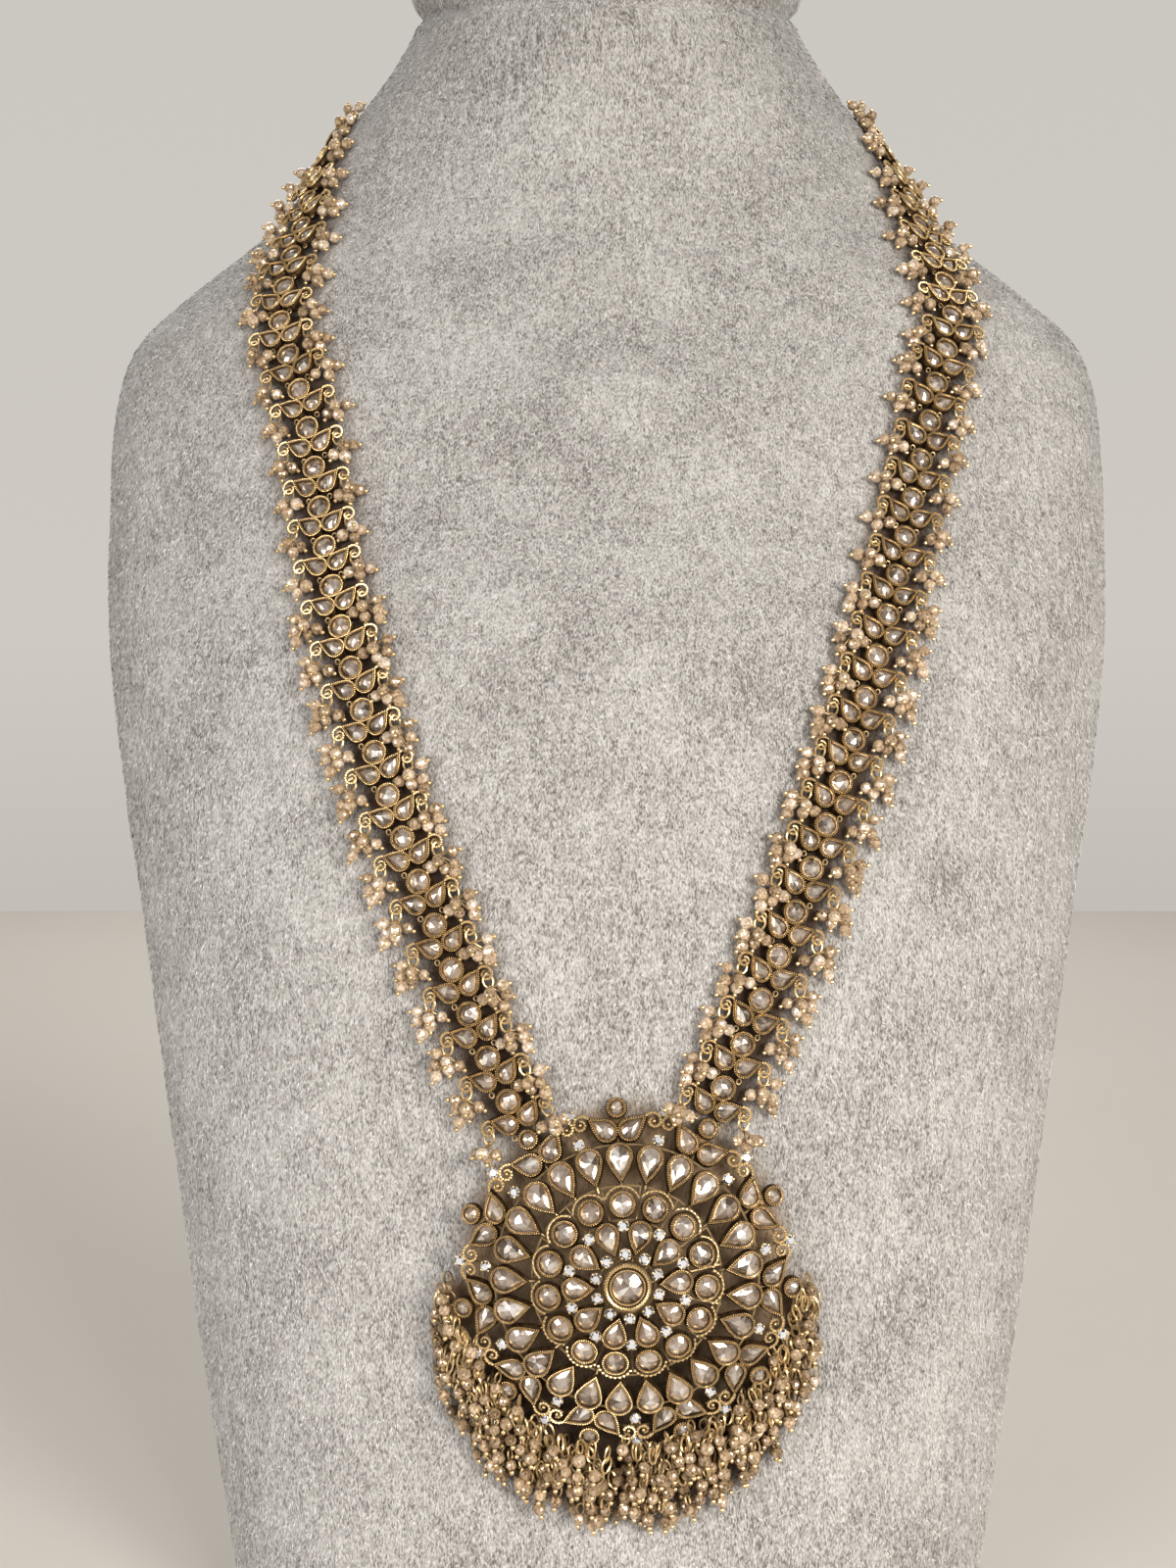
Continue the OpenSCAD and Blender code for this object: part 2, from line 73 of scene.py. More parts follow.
# %% [markdown]
# ## Nodes as Python
#
# Both materials and Geometry Nodes are graphs. One small class adds a node: its settings are set
# first, then a value or a link for each socket. A second one wraps an output, so that sums of
# masks can be written as sums, and each operator adds the Math node that it stands for.

# %% A graph and a made node
class Graph:
    """Adds nodes to a tree."""

    def __init__(self, tree):
        self.tree = tree

    def add(self, kind, sockets=None, **settings):
        node = self.tree.nodes.new(kind)
        for name, value in settings.items():
            if name == "stops":
                self.set_stops(node.color_ramp, value)
            else:
                setattr(node, name, value)
        for name, value in (sockets or {}).items():
            if isinstance(value, Output):
                self.tree.links.new(value.socket, node.inputs[name])
            else:
                node.inputs[name].default_value = value
        return Made(self, node)

    @staticmethod
    def set_stops(ramp, stops):
        while len(ramp.elements) < len(stops):
            ramp.elements.new(1.0)
        for element, (place, colour) in zip(ramp.elements, stops):
            element.position = place
            element.color = (*colour, 1.0)


class Made:
    """A node whose outputs are read by name or number."""

    def __init__(self, graph, node):
        self.graph = graph
        self.node = node

    def __getitem__(self, key):
        return Output(self.graph, self.node.outputs[key])


# %% An output, with the operators that the masks need
class Output:
    """One output. Each operator adds its Math node."""

    def __init__(self, graph, socket):
        self.graph = graph
        self.socket = socket

    def maths(self, operation, first, second):
        return self.graph.add("ShaderNodeMath", {0: first, 1: second}, operation=operation)["Value"]

    def __add__(self, other):
        return self.maths("ADD", self, other)

    def __mul__(self, other):
        return self.maths("MULTIPLY", self, other)

    def __sub__(self, other):
        return self.maths("SUBTRACT", self, other)

    def __rsub__(self, other):
        return self.maths("SUBTRACT", other, self)

    __radd__ = __add__
    __rmul__ = __mul__

    def clamped(self):
        return self.maths("MINIMUM", self.maths("MAXIMUM", self, 0.0), 1.0)


def rgba(colour):
    return colour if isinstance(colour, Output) else (*colour, 1.0)


def mixed(graph, factor, first, second):
    """A colour between two colours, which are sockets 6 and 7 of a Mix node."""
    sockets = {"Factor": factor, 6: rgba(first), 7: rgba(second)}
    return graph.add("ShaderNodeMix", sockets, data_type="RGBA", clamp_factor=True)[2]


# %% [markdown]
# ## Finishes
#
# Five finishes show: antique gold, champagne stones, clear crystals, peach glass and plush. Each
# one reads Object coordinates in metres, so a noise of scale 400 has grains of about 2.5 mm. Where
# a finish has to know its place on a piece, the mesh carries it as an attribute. One of them is 1
# in the grooves and on low or hidden gold, which is darkened there: partly brown patina, partly
# painted shade. `tone` is a random number for one facet, which the glass finishes paint as flashes
# and dark reflections. `shade` is one for a whole copy: light for a bead, darkness for a gold part,
# and painted shade for drops deep in the fringe. Two more paint shade on the plush: one is 1 where
# the necklace covers it, and there the cloth is painted warm brown, as if in shade lit only by
# light off the gold; the other makes that painted shade darkest behind the fringe and between the
# links. The gold is also painted darker in each crevice, by how open the place is within about a
# millimetre: partly brown patina where the plating was rubbed off the tops, partly painted shade.

# %% Shared parts of the finishes
def new_finish(name):
    """An empty material and its graph."""
    finish = bpy.data.materials.new(name)
    finish.use_nodes = True
    finish.node_tree.nodes.clear()
    return finish, Graph(finish.node_tree)


def grain(graph, scale, detail=3.0, stretch=(1.0, 1.0, 1.0)):
    """Noise over the piece, in grains for each metre."""
    place = graph.add("ShaderNodeTexCoord")["Object"]
    stretched = graph.add("ShaderNodeMapping", {"Vector": place, "Scale": stretch})["Vector"]
    return graph.add("ShaderNodeTexNoise", {"Vector": stretched, "Scale": scale, "Detail": detail})["Fac"]


def attribute(graph, name):
    return graph.add("ShaderNodeAttribute", attribute_name=name)["Fac"]


def ramp(graph, factor, stops):
    return graph.add("ShaderNodeValToRGB", {"Fac": factor}, stops=stops)["Color"]


def bumped(graph, height, strength, distance):
    sockets = {"Height": height, "Strength": strength, "Distance": distance}
    return graph.add("ShaderNodeBump", sockets)["Normal"]


def finished(graph, sockets):
    shader = graph.add("ShaderNodeBsdfPrincipled", sockets)["BSDF"]
    graph.add("ShaderNodeOutputMaterial", {"Surface": shader})


# %% Antique gold: bright on the milled edges, with brown patina and painted shade in grooves and crevices
CREVICE = 0.0009


def gold_finish():
    finish, graph = new_finish("antique_gold")
    wear = grain(graph, 700.0)
    # Painted shade in crevices: the gold darkens where little is open within a millimetre; this also stands
    # for patina there
    open_share = graph.add("ShaderNodeAmbientOcclusion", {"Distance": CREVICE}, samples=4)["AO"]
    hollow, deep = attribute(graph, "hollow"), attribute(graph, "shade")
    # Darkening: patina and painted shade in grooves, painted shade in crevices and deep in the fringe, and
    # wear
    dark = (hollow * 1.3 + (1.0 - open_share) * 0.95 + deep + (wear - 0.5) * 0.5 - 0.34).clamped()
    plating = mixed(graph, grain(graph, 130.0), (0.70, 0.475, 0.205), (0.94, 0.70, 0.38))
    finished(graph, {
        "Base Color": mixed(graph, dark, plating, (0.05, 0.022, 0.006)),
        "Metallic": 0.8,
        "Roughness": (wear * 0.14 + dark * 0.3 + 0.2).clamped(),
        "Normal": bumped(graph, grain(graph, 2600.0, 2.0), 0.25, 0.00012),
    })
    return finish


# %% Cut glass: a clear coat over facets that each take a tone of their own
def cut_finish(name, colour_of, metallic, roughness, ior, coat_roughness, ripple):
    """A glass. colour_of gives its colour, and ripple the scale, strength and depth of its bump."""
    finish, graph = new_finish(name)
    scale, strength, distance = ripple
    finished(graph, {
        "Base Color": colour_of(graph),
        "Metallic": metallic,
        "Roughness": roughness,
        "IOR": ior,
        "Coat Weight": 1.0,
        "Coat Roughness": coat_roughness,
        "Normal": bumped(graph, grain(graph, scale), strength, distance),
    })
    return finish


def stone_colour(graph):
    """Foiled glass, brown where the foil has aged, its facets painted as flashes and dark reflections."""
    facet = ramp(graph, attribute(graph, "tone"), [
        (0.0, (0.09, 0.065, 0.045)),
        (0.3, (0.24, 0.19, 0.15)),
        (0.65, (0.47, 0.40, 0.34)),
        (0.85, (0.61, 0.54, 0.47)),
        (1.0, (0.90, 0.87, 0.83)),
    ])
    return mixed(graph, (grain(graph, 60.0) - 0.42) * 1.6, facet, (0.50, 0.35, 0.23))


# A clear crystal whose facets are painted from black to white, as reflections
def crystal_colour(graph):
    return ramp(graph, attribute(graph, "tone"), [
        (0.0, (0.06, 0.06, 0.07)),
        (0.4, (0.24, 0.24, 0.26)),
        (0.7, (0.72, 0.72, 0.74)),
        (1.0, (1.0, 1.0, 1.0)),
    ])


def peach_colour(graph):
    """The drops' peach glass: tones for each facet and each bead paint glints and shade on it."""
    facet, bead_tone_and_shade = attribute(graph, "tone"), attribute(graph, "shade")
    light = facet * 0.55 + bead_tone_and_shade * 0.5 + grain(graph, 220.0) * 0.3 - 0.18
    return ramp(graph, light.clamped(), [
        (0.0, (0.13, 0.075, 0.03)),
        (0.35, (0.40, 0.27, 0.15)),
        (0.7, (0.68, 0.50, 0.32)),
        (1.0, (0.95, 0.86, 0.75)),
    ])


# %% Plush: a base cloth with mottled nap and painted shade under the necklace, and the pile that stands on it
NAP = [(0.0, (0.15, 0.135, 0.12)), (0.5, (0.44, 0.418, 0.392)), (1.0, (0.68, 0.66, 0.632))]


def plush_finish(name, lighter):
    finish, graph = new_finish(name)
    patches = grain(graph, 38.0, 4.0) - 0.5
    streaks = grain(graph, 560.0, 3.0, (1.0, 1.0, 0.45))
    fleck = grain(graph, 2300.0, 2.0, (1.0, 1.0, 0.4))
    tone = attribute(graph, "tone") - 0.3
    light = patches * 0.7 + (streaks - 0.5) * 0.9 + (fleck - 0.5) * 2.3 + tone + 0.5
    nap = ramp(graph, light.clamped(), [(at, [c * lighter for c in colour]) for at, colour in NAP])
    # Painted shade under the necklace: warm brown, as if lit only by light off the gold, and near black
    # behind the fringe and between the links
    shaded = mixed(graph, attribute(graph, "deep"), (0.30, 0.2, 0.112), (0.045, 0.021, 0.007))
    finished(graph, {
        "Base Color": mixed(graph, attribute(graph, "under") * 0.96, nap, shaded),
        "Roughness": 0.95,
        "Specular IOR Level": 0.15,
        "Sheen Weight": 0.35,
        "Sheen Roughness": 0.5,
        "Normal": bumped(graph, streaks + fleck * 0.6, 0.7, 0.0009),
    })
    return finish


# %% The finishes of this object
gold = gold_finish()
stone = cut_finish("champagne_stone", stone_colour, 0.55, 0.12, 1.6, 0.03, (900.0, 0.12, 0.0002))
crystal = cut_finish("clear_crystal", crystal_colour, 0.4, 0.06, 1.8, 0.02, (1500.0, 0.08, 0.0001))
glass = cut_finish("peach_glass", peach_colour, 0.25, 0.15, 1.55, 0.04, (1200.0, 0.1, 0.0002))
plush = plush_finish("plush_cloth", 0.92)
pile_finish = plush_finish("plush_pile", 1.06)
print("finishes:", [m.name for m in bpy.data.materials])


# %% [markdown]
# ## The bust's surface
#
# Everything lies on the bust, so its surface comes first. It is a formula: level sections from a
# short table, joined by smooth curves in height. A place on it is a height and a turn from the
# front. The same formula gives the normal, and so the points at any distance over it.

# %% Sections of the bust
HEIGHT, HALF_W, MID_Y, FRONT, BACK, RISE = range(6)
BUST_ROWS = np.array([
    # height, half width, y of the widest line, depth in front, depth behind, rise
    (0, 103, -27.5, 65, 88, 0),
    (75, 115.5, -19.5, 70, 85, 0),
    (190, 132.5, -5.5, 78, 76, 0),
    (268, 145, 10.5, 75, 63, 0),
    (313, 146, 17.5, 63, 60, 0),
    (340, 145, 22.5, 58.5, 62, 0),
    (360, 139.5, 27.5, 55, 64, 0.02),
    (376, 123, 31.5, 54, 65, 0.04),
    (392, 104, 35.5, 53, 65, 0.06),
    (410, 89, 39.5, 53, 62, 0.09),
    (427, 77.5, 42.5, 54, 58, 0.12),
    (440, 68, 44.5, 55.5, 56, 0.15),
    (452, 60.5, 45.5, 56.5, 56, 0.17),
    (461, 56.5, 45.5, 56, 55.5, 0.17),
    (464, 58, 45.5, 57.5, 57, 0.17),
    (468, 59, 45.5, 58.5, 58, 0.17),
    (472, 57.5, 45.5, 57, 56.5, 0.17),
    (474, 54, 45.5, 53.5, 53, 0.17),
], dtype=float)


def limited(value, low=0.0, high=1.0):
    return min(max(value, low), high)


def hermite(p, q, dp, dq, t):
    """A smooth step from p to q that starts along dp and ends along dq."""
    return (p * (2 * t**3 - 3 * t**2 + 1) + dp * (t**3 - 2 * t**2 + t)
            + q * (3 * t**2 - 2 * t**3) + dq * (t**3 - t**2))


def row_slope(i):
    a = BUST_ROWS[max(i - 1, 0)]
    b = BUST_ROWS[min(i + 1, len(BUST_ROWS) - 1)]
    return (b - a) / (b[HEIGHT] - a[HEIGHT])


def section(z):
    i = int(np.searchsorted(BUST_ROWS[:, HEIGHT], z, side="right")) - 1
    i = limited(i, 0, len(BUST_ROWS) - 2)
    p, q = BUST_ROWS[i], BUST_ROWS[i + 1]
    h = q[HEIGHT] - p[HEIGHT]
    return hermite(p, q, row_slope(i) * h, row_slope(i + 1) * h, (z - p[HEIGHT]) / h)


print("half width of the bust in the middle:", round(section(240)[HALF_W], 1), "mm")

# %% A place on the bust, and the way out of it
PROBE = 0.5


def on_section(row, z, turn):
    c, s = math.cos(math.radians(turn)), math.sin(math.radians(turn))
    back = -c * (row[FRONT] if c > 0 else row[BACK])
    return Vector((row[HALF_W] * s, row[MID_Y] + back, z + row[RISE] * back))


def on_bust(z, turn):
    return on_section(section(z), z, turn)


def slopes(z, turn):
    """How far a place moves for a millimetre of height and for a degree of turn."""
    up = on_bust(z + PROBE, turn) - on_bust(z - PROBE, turn)
    around = on_bust(z, turn + PROBE) - on_bust(z, turn - PROBE)
    return up / (2 * PROBE), around / (2 * PROBE)


def bust_normal(z, turn):
    up, around = slopes(z, turn)
    return around.cross(up).normalized()


def off_bust(z, turn, distance):
    return on_bust(z, turn) + distance * bust_normal(z, turn)


def before_bust(x, z, distance):
    """The point of the front at a place across and a height, moved forward."""
    row = section(z)
    share = x / row[HALF_W]
    return Vector((x, row[MID_Y] - row[FRONT] * math.sqrt(1 - share * share) - distance, z))


def stepped(z, turn, v):
    """The height and turn that a step v over the bust leads to."""
    up, around = slopes(z, turn)
    a, b, c, p, q = up.dot(up), up.dot(around), around.dot(around), v.dot(up), v.dot(around)
    det = a * c - b * b
    return z + (p * c - q * b) / det, turn + (q * a - p * b) / det


print("front of the bust at the medallion:", [round(c, 1) for c in before_bust(4.2, 114, 0)])

# %% [markdown]
# ## Where the straps run
#
# Each strap is a row of links laid over the bust up to the neck, and the chain carries on behind
# it. Its route is a smooth curve through a few listed heights and turns. Measured along its
# length, the links come every 12 mm, and each one gets a frame: across, along and out.

# %% Routes and the frames of the links
LINKS = 28
LINK_PITCH = 12.0
LIFT = 0.8
ALONG_STEP = 0.05
ROUTE_SAMPLES = 12
TO_THE_BACK = [
    (418, 81), (424, 95), (426, 110), (425, 125), (424, 140), (423, 155), (422, 168), (422, 180)]
ROUTES = {
    LEFT: [(146.5, 9), (168, 13.7), (201, 19.2), (234, 24), (267, 27.8), (298, 31.1), (330, 33.9),
           (352, 38), (373, 45.5), (392, 56.5), (407, 68.5)] + TO_THE_BACK,
    RIGHT: [(149.5, 10.6), (171, 14.8), (204, 20.4), (237, 25), (268, 28.7), (299, 32.6),
            (328, 36.2), (350, 40), (372, 48), (391, 59), (406, 69.5)] + TO_THE_BACK,
}


def route(side, u):
    rows = ROUTES[side]
    last = len(rows) - 1
    i = min(int(u), last - 1)
    a, p, q, b = (np.array(rows[k], float) for k in (max(i - 1, 0), i, i + 1, min(i + 2, last)))
    z, turn = hermite(p, q, (q - a) / 2, (b - p) / 2, u - i)
    return z, side * turn


def route_point(side, u, distance):
    return off_bust(*route(side, u), distance)


def route_lengths(side):
    steps = np.arange((len(ROUTES[side]) - 1) * ROUTE_SAMPLES + 1) / ROUTE_SAMPLES
    points = [route_point(side, u, LIFT) for u in steps]
    gaps = [(b - a).length for a, b in zip(points, points[1:])]
    return np.concatenate([[0.0], np.cumsum(gaps)]), steps


LENGTHS = {side: route_lengths(side) for side in SIDES}


def route_u(side, length):
    return float(np.interp(length, *LENGTHS[side]))


def facing(place, along, out):
    """A matrix at a place, with Y along a direction and Z turned towards out."""
    across = along.cross(out).normalized()
    columns = (across, along, across.cross(along), place)
    return Matrix([[c[k] for c in columns] for k in range(3)] + [(0, 0, 0, 1)])


def link_frame(side, i):
    u = route_u(side, i * LINK_PITCH)
    along = route_point(side, u + ALONG_STEP, LIFT) - route_point(side, u - ALONG_STEP, LIFT)
    return facing(route_point(side, u, LIFT), along.normalized(), bust_normal(*route(side, u)))


LINK_FRAMES = {side: [link_frame(side, i) for i in range(1, LINKS + 1)] for side in SIDES}
for side in SIDES:
    print(SIDES[side], "route", round(LENGTHS[side][0][-1], 1), "mm to the middle of the back")


# %% [markdown]
# ## Making meshes
#
# Small parts are gathered as points and faces in millimetres, with an attribute for each point
# that darkens the gold with brown patina and painted shade. Repeats come from Geometry Nodes. One
# tree puts beads along a path, which is how a milled wire looks. One draws a round wire along a
# path. One puts templates on points that carry a turn, a size and a tone. Each tree's result is
# turned into a plain mesh at once.

# %% A shape: loose parts gathered before they become one object
def new_mesh(name, points, faces=(), edges=()):
    mesh = bpy.data.meshes.new(name)
    mesh.from_pydata(points, edges, faces)
    return mesh


def add_attribute(mesh, name, values, domain="POINT"):
    mesh.attributes.new(name, "FLOAT", domain).data.foreach_set("value", values)


def linked(name, mesh, finish=None):
    """An object at the origin that holds the mesh."""
    piece = bpy.data.objects.new(name, mesh)
    bpy.context.scene.collection.objects.link(piece)
    if finish:
        mesh.materials.clear()
        mesh.materials.append(finish)
    return piece


def discard(thing):
    """Removes an object and its mesh."""
    mesh = thing.data
    bpy.data.objects.remove(thing)
    bpy.data.meshes.remove(mesh)


class Shape:
    """Points, faces, the patina and painted shade of each point and the tone of each face, in millimetres.
    """

    def __init__(self):
        self.points = []
        self.faces = []
        self.hollow = []
        self.tones = []

    def add(self, points, faces, hollow=0.0, place=None, tones=None):
        start = len(self.points)
        place = place or Matrix()
        self.points.extend(place @ Vector(p) for p in points)
        self.faces.extend(tuple(start + k for k in face) for face in faces)
        self.hollow.extend(hollow if isinstance(hollow, list) else [hollow] * len(points))
        self.tones.extend(tones if tones else [0.5] * len(faces))

    def mesh(self, name, scale=1.0, sharp=40.0):
        mesh = new_mesh(name, [scale * p for p in self.points], self.faces)
        add_attribute(mesh, "hollow", self.hollow)
        add_attribute(mesh, "tone", self.tones, "FACE")
        mesh.shade_smooth()
        mesh.set_sharp_from_angle(angle=math.radians(sharp))
        return mesh


# %% Geometry Nodes: how a tree starts and ends, and what it makes of an object
FLOAT, INTEGER, OBJECT = "NodeSocketFloat", "NodeSocketInt", "NodeSocketObject"
COLLECTION, MATERIAL, GEOMETRY = "NodeSocketCollection", "NodeSocketMaterial", "NodeSocketGeometry"


def new_tree(name, **inputs):
    """A tree's graph, and its inputs: Geometry, the named ones and Finish."""
    tree = bpy.data.node_groups.new(name, "GeometryNodeTree")
    tree.interface.new_socket(name="Geometry", in_out="OUTPUT", socket_type=GEOMETRY)
    for label, kind in {"Geometry": GEOMETRY, **inputs, "Finish": MATERIAL}.items():
        tree.interface.new_socket(name=label, in_out="INPUT", socket_type=kind)
    graph = Graph(tree)
    return graph, graph.add("NodeGroupInput")


def closed_tree(graph, given, geometry):
    """Makes the copies real, gives them their finish and sends them out."""
    real = graph.add("GeometryNodeRealizeInstances", {"Geometry": geometry})["Geometry"]
    done = graph.add("GeometryNodeSetMaterial", {"Geometry": real, "Material": given["Finish"]})
    graph.add("NodeGroupOutput", {"Geometry": done["Geometry"]})
    return graph.tree


def made_mesh(source, tree, values, name):
    """The mesh that the tree makes of the source object, which is then removed."""
    modifier = source.modifiers.new("nodes", "NODES")
    modifier.node_group = tree
    for socket in tree.interface.items_tree:
        if socket.in_out == "INPUT" and socket.name in values:
            modifier[socket.identifier] = values[socket.name]
    done = source.evaluated_get(bpy.context.evaluated_depsgraph_get())
    mesh = bpy.data.meshes.new_from_object(done)
    mesh.name = name
    discard(source)
    return mesh


# %% Trees that put beads along a path and draw a wire along one
def path_curve(graph, given):
    return graph.add("GeometryNodeMeshToCurve", {"Mesh": given["Geometry"]})["Curve"]


def path_points(graph, given):
    """Points along the path, one for each pitch."""
    sockets = {"Curve": path_curve(graph, given), "Length": given["Pitch"]}
    return graph.add("GeometryNodeResampleCurve", sockets, mode="LENGTH")["Curve"]


def smoothed(graph, mesh):
    return graph.add("GeometryNodeSetShadeSmooth", {"Geometry": mesh})["Geometry"]


def beads_tree():
    graph, given = new_tree("Beads on a path", Pitch=FLOAT, Bead=FLOAT)
    bead = graph.add("GeometryNodeMeshIcoSphere", {"Radius": given["Bead"] * 0.5, "Subdivisions": 1})
    sockets = {"Points": path_points(graph, given), "Instance": smoothed(graph, bead["Mesh"])}
    copies = graph.add("GeometryNodeInstanceOnPoints", sockets)
    return closed_tree(graph, given, copies["Instances"])


def wire_tree():
    graph, given = new_tree("Wire along a path", Radius=FLOAT, Sides=INTEGER)
    sockets = {"Resolution": given["Sides"], "Radius": given["Radius"]}
    circle = graph.add("GeometryNodeCurvePrimitiveCircle", sockets)["Curve"]
    sockets = {"Curve": path_curve(graph, given), "Profile Curve": circle, "Fill Caps": True}
    tube = graph.add("GeometryNodeCurveToMesh", sockets)["Mesh"]
    return closed_tree(graph, given, smoothed(graph, tube))


BEADS, WIRE = beads_tree(), wire_tree()


def path_object(paths, closed):
    """An object with edges along each path, which is a list of points."""
    points, edges = [], []
    for path in paths:
        start = len(points)
        points.extend(path)
        edges.extend((start + k, start + k + 1) for k in range(len(path) - 1))
        if closed:
            edges.append((start + len(path) - 1, start))
    return linked("path", new_mesh("path", points, edges=edges))


def add_along(shape, paths, closed, tree, patina_and_shade_of, **sizes):
    """Adds what the tree makes along the paths, with the patina and painted shade that a function gives each
    point.
    """
    mesh = made_mesh(path_object(paths, closed), tree, {"Finish": gold, **sizes}, "part")
    points = [v.co.copy() for v in mesh.vertices]
    shape.add(points, [tuple(p.vertices) for p in mesh.polygons], [patina_and_shade_of(p) for p in points])
    bpy.data.meshes.remove(mesh)


def add_beads(shape, paths, bead, pitch, patina_and_shade_of, closed=False):
    add_along(shape, paths, closed, BEADS, patina_and_shade_of, Pitch=pitch, Bead=bead)


def add_wire(shape, paths, radius, patina_and_shade_of, sides=6, closed=False):
    add_along(shape, paths, closed, WIRE, patina_and_shade_of, Radius=radius, Sides=sides)


def by_height(top, depth):
    """Patina and painted shade that grow from 0 at the top to 1 at a depth below it."""
    return lambda p: limited((top - p[2]) / depth)


# %% Places: points that carry what the copies need
# What each place carries: its kind, the key of its data, and the socket that reads it
PLACE_DATA = {
    "which": ("INT", "value", "Instance Index"),
    "turn": ("QUATERNION", "value", "Rotation"),
    "size": ("FLOAT_VECTOR", "vector", "Scale"),
    "shade": ("FLOAT", "value", None),
}


class Places:
    """Where the copies of some templates go."""

    def __init__(self):
        self.points = []
        self.rows = []

    def add(self, which, matrix, size=1.0, shade=0.0):
        place, turn, _ = matrix.decompose()
        size = Vector(size if isinstance(size, tuple) else (size, size, size)) * MM
        self.points.append(place * MM)
        self.rows.append({"which": [which], "turn": turn, "size": size, "shade": [shade]})

    def mesh(self):
        mesh = new_mesh("places", self.points)
        for name, (kind, key, _) in PLACE_DATA.items():
            data = mesh.attributes.new(name, kind, "POINT").data
            data.foreach_set(key, [c for row in self.rows for c in row[name]])
        return mesh


# %% A tree that puts templates on points
def copies_tree():
    graph, given = new_tree("Copies on points", Templates=COLLECTION)
    sockets = {"Collection": given["Templates"], "Separate Children": True, "Reset Children": True}
    templates = graph.add("GeometryNodeCollectionInfo", sockets)["Instances"]
    sockets = {"Points": given["Geometry"], "Instance": templates, "Pick Instance": True}
    for name, (kind, _, socket) in PLACE_DATA.items():
        if socket:
            read = graph.add("GeometryNodeInputNamedAttribute", {"Name": name}, data_type=kind)
            sockets[socket] = read["Attribute"]
    copies = graph.add("GeometryNodeInstanceOnPoints", sockets)
    return closed_tree(graph, given, copies["Instances"])


COPIES = copies_tree()
print("trees:", [tree.name for tree in bpy.data.node_groups])


# %% A piece made of copies, and where a finished piece is put
def triangles(piece):
    return sum(len(p.vertices) - 2 for p in piece.data.polygons)


def copied(name, places, shapes, finish, sharp=40.0):
    """One piece made of copies of the shapes at the places."""
    collection = bpy.data.collections.new(name + "_templates")
    bpy.context.scene.collection.children.link(collection)
    for k, shape in enumerate(shapes):
        mesh = shape.mesh("template", sharp=sharp)
        collection.objects.link(bpy.data.objects.new(f"template_{k:02d}", mesh))
    values = {"Templates": collection, "Finish": finish}
    mesh = made_mesh(linked("places", places.mesh()), COPIES, values, name)
    for template in list(collection.objects):
        discard(template)
    bpy.data.collections.remove(collection)
    for used in ("which", "turn", "size"):
        if used in mesh.attributes:
            mesh.attributes.remove(mesh.attributes[used])
    piece = linked(name, mesh)
    print(name, "has", len(places.rows), "copies and", triangles(piece), "triangles")
    return piece


def settle(piece, nodes):
    """Puts a finished piece on the body and hides the nodes that it stands for."""
    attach(piece, "root")
    if nodes:
        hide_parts(*nodes)


# %% [markdown]
# ## Settings
#
# A setting is a low wall round a stone. Its section has a foot, a groove under the milled edge, and
# a smooth lip that is pressed over the stone. The outline is a circle or a pear, written in one
# formula: the distance from the middle of the round end as a function of the angle from the tip.
# The same wall can then follow both.

# %% Places, outlines and the faces between rings of points
PEAR_BULGE = 0.05


def turned(degrees, axis="Z"):
    return Matrix.Rotation(math.radians(degrees), 4, axis)


def shifted(x, y, z=0.0):
    return Matrix.Translation((x, y, z))


def polar(r, turn, z=0.0):
    """A point at a distance and a turn in degrees round the Z axis."""
    a = math.radians(turn)
    return Vector((r * math.cos(a), r * math.sin(a), z))


def outline(r, tip, count, inset=0.0, z=0.0):
    """Points round a circle or a pear whose tip is along +Y, counter-clockwise from the tip."""
    scale = (r - inset) / r
    flank = math.acos(min(r / tip, 1.0))
    points = []
    for k in range(count):
        angle = k * 2 * math.pi / count
        away = min(angle, 2 * math.pi - angle)
        rho = r
        if away < flank:
            rho = r / math.cos(flank - away) * (1 + PEAR_BULGE * math.sin(math.pi * (flank - away) / flank))
        points.append(Vector((-rho * scale * math.sin(angle), rho * scale * math.cos(angle), z)))
    return points


def band(a, b, count):
    """Faces between two rings of points that start at the points a and b."""
    return [(a + k, a + (k + 1) % count, b + (k + 1) % count, b + k) for k in range(count)]


def capped(rings, count):
    """Faces of a body that starts and ends in one point, with rings of points between them."""
    last = 1 + rings * count
    faces = [(0, 1 + (k + 1) % count, 1 + k) for k in range(count)]
    for j in range(rings - 1):
        faces.extend(band(1 + j * count, 1 + (j + 1) * count, count))
    top = last - count
    return faces + [(top + k, top + (k + 1) % count, last) for k in range(count)]


def add_swept(shape, r, tip, profile, place, count, wide=1.0, high=1.0):
    """A section of (inset, height, patina and painted shade) carried round an outline."""
    points, hollow, faces = [], [], []
    for j, (inset, height, dark) in enumerate(profile):
        points.extend(outline(r, tip, count, inset * wide, height * high))
        hollow.extend([dark] * count)
        faces.extend(band(j * count, (j + 1) % len(profile) * count, count))
    shape.add(points, faces, hollow, place)


pear = outline(2.75, 5.2, 24)
print("a strap's pear is", round(pear[0].y - pear[12].y, 2), "mm long")

# %% A setting: its wall, and the beads of its milled edge
# Share of the wall's width from outside, share of the setting's height, and patina and painted shade; the
# low outer foot is painted dark, as shade round each setting
WALL_SECTION = [
    (-0.3, 0.0, 1.0), (-0.35, 0.3, 1.0), (0.0, 0.55, 1.0), (0.5, 0.74, 1.0), (0.62, 0.78, 0.9),
    (0.72, 0.98, 0.1), (0.88, 1.04, 0.0), (1.0, 0.95, 0.2), (1.04, 0.45, 1.0),
]
STRAP_WALL, FINE_WALL = 0.7, 0.64
MILL_BEAD, MILL_PITCH = 0.44, 0.58
MILL_Z, MILL_PATINA_AND_SHADE_DEPTH = 0.86, 0.8
MILL_POINTS = 48


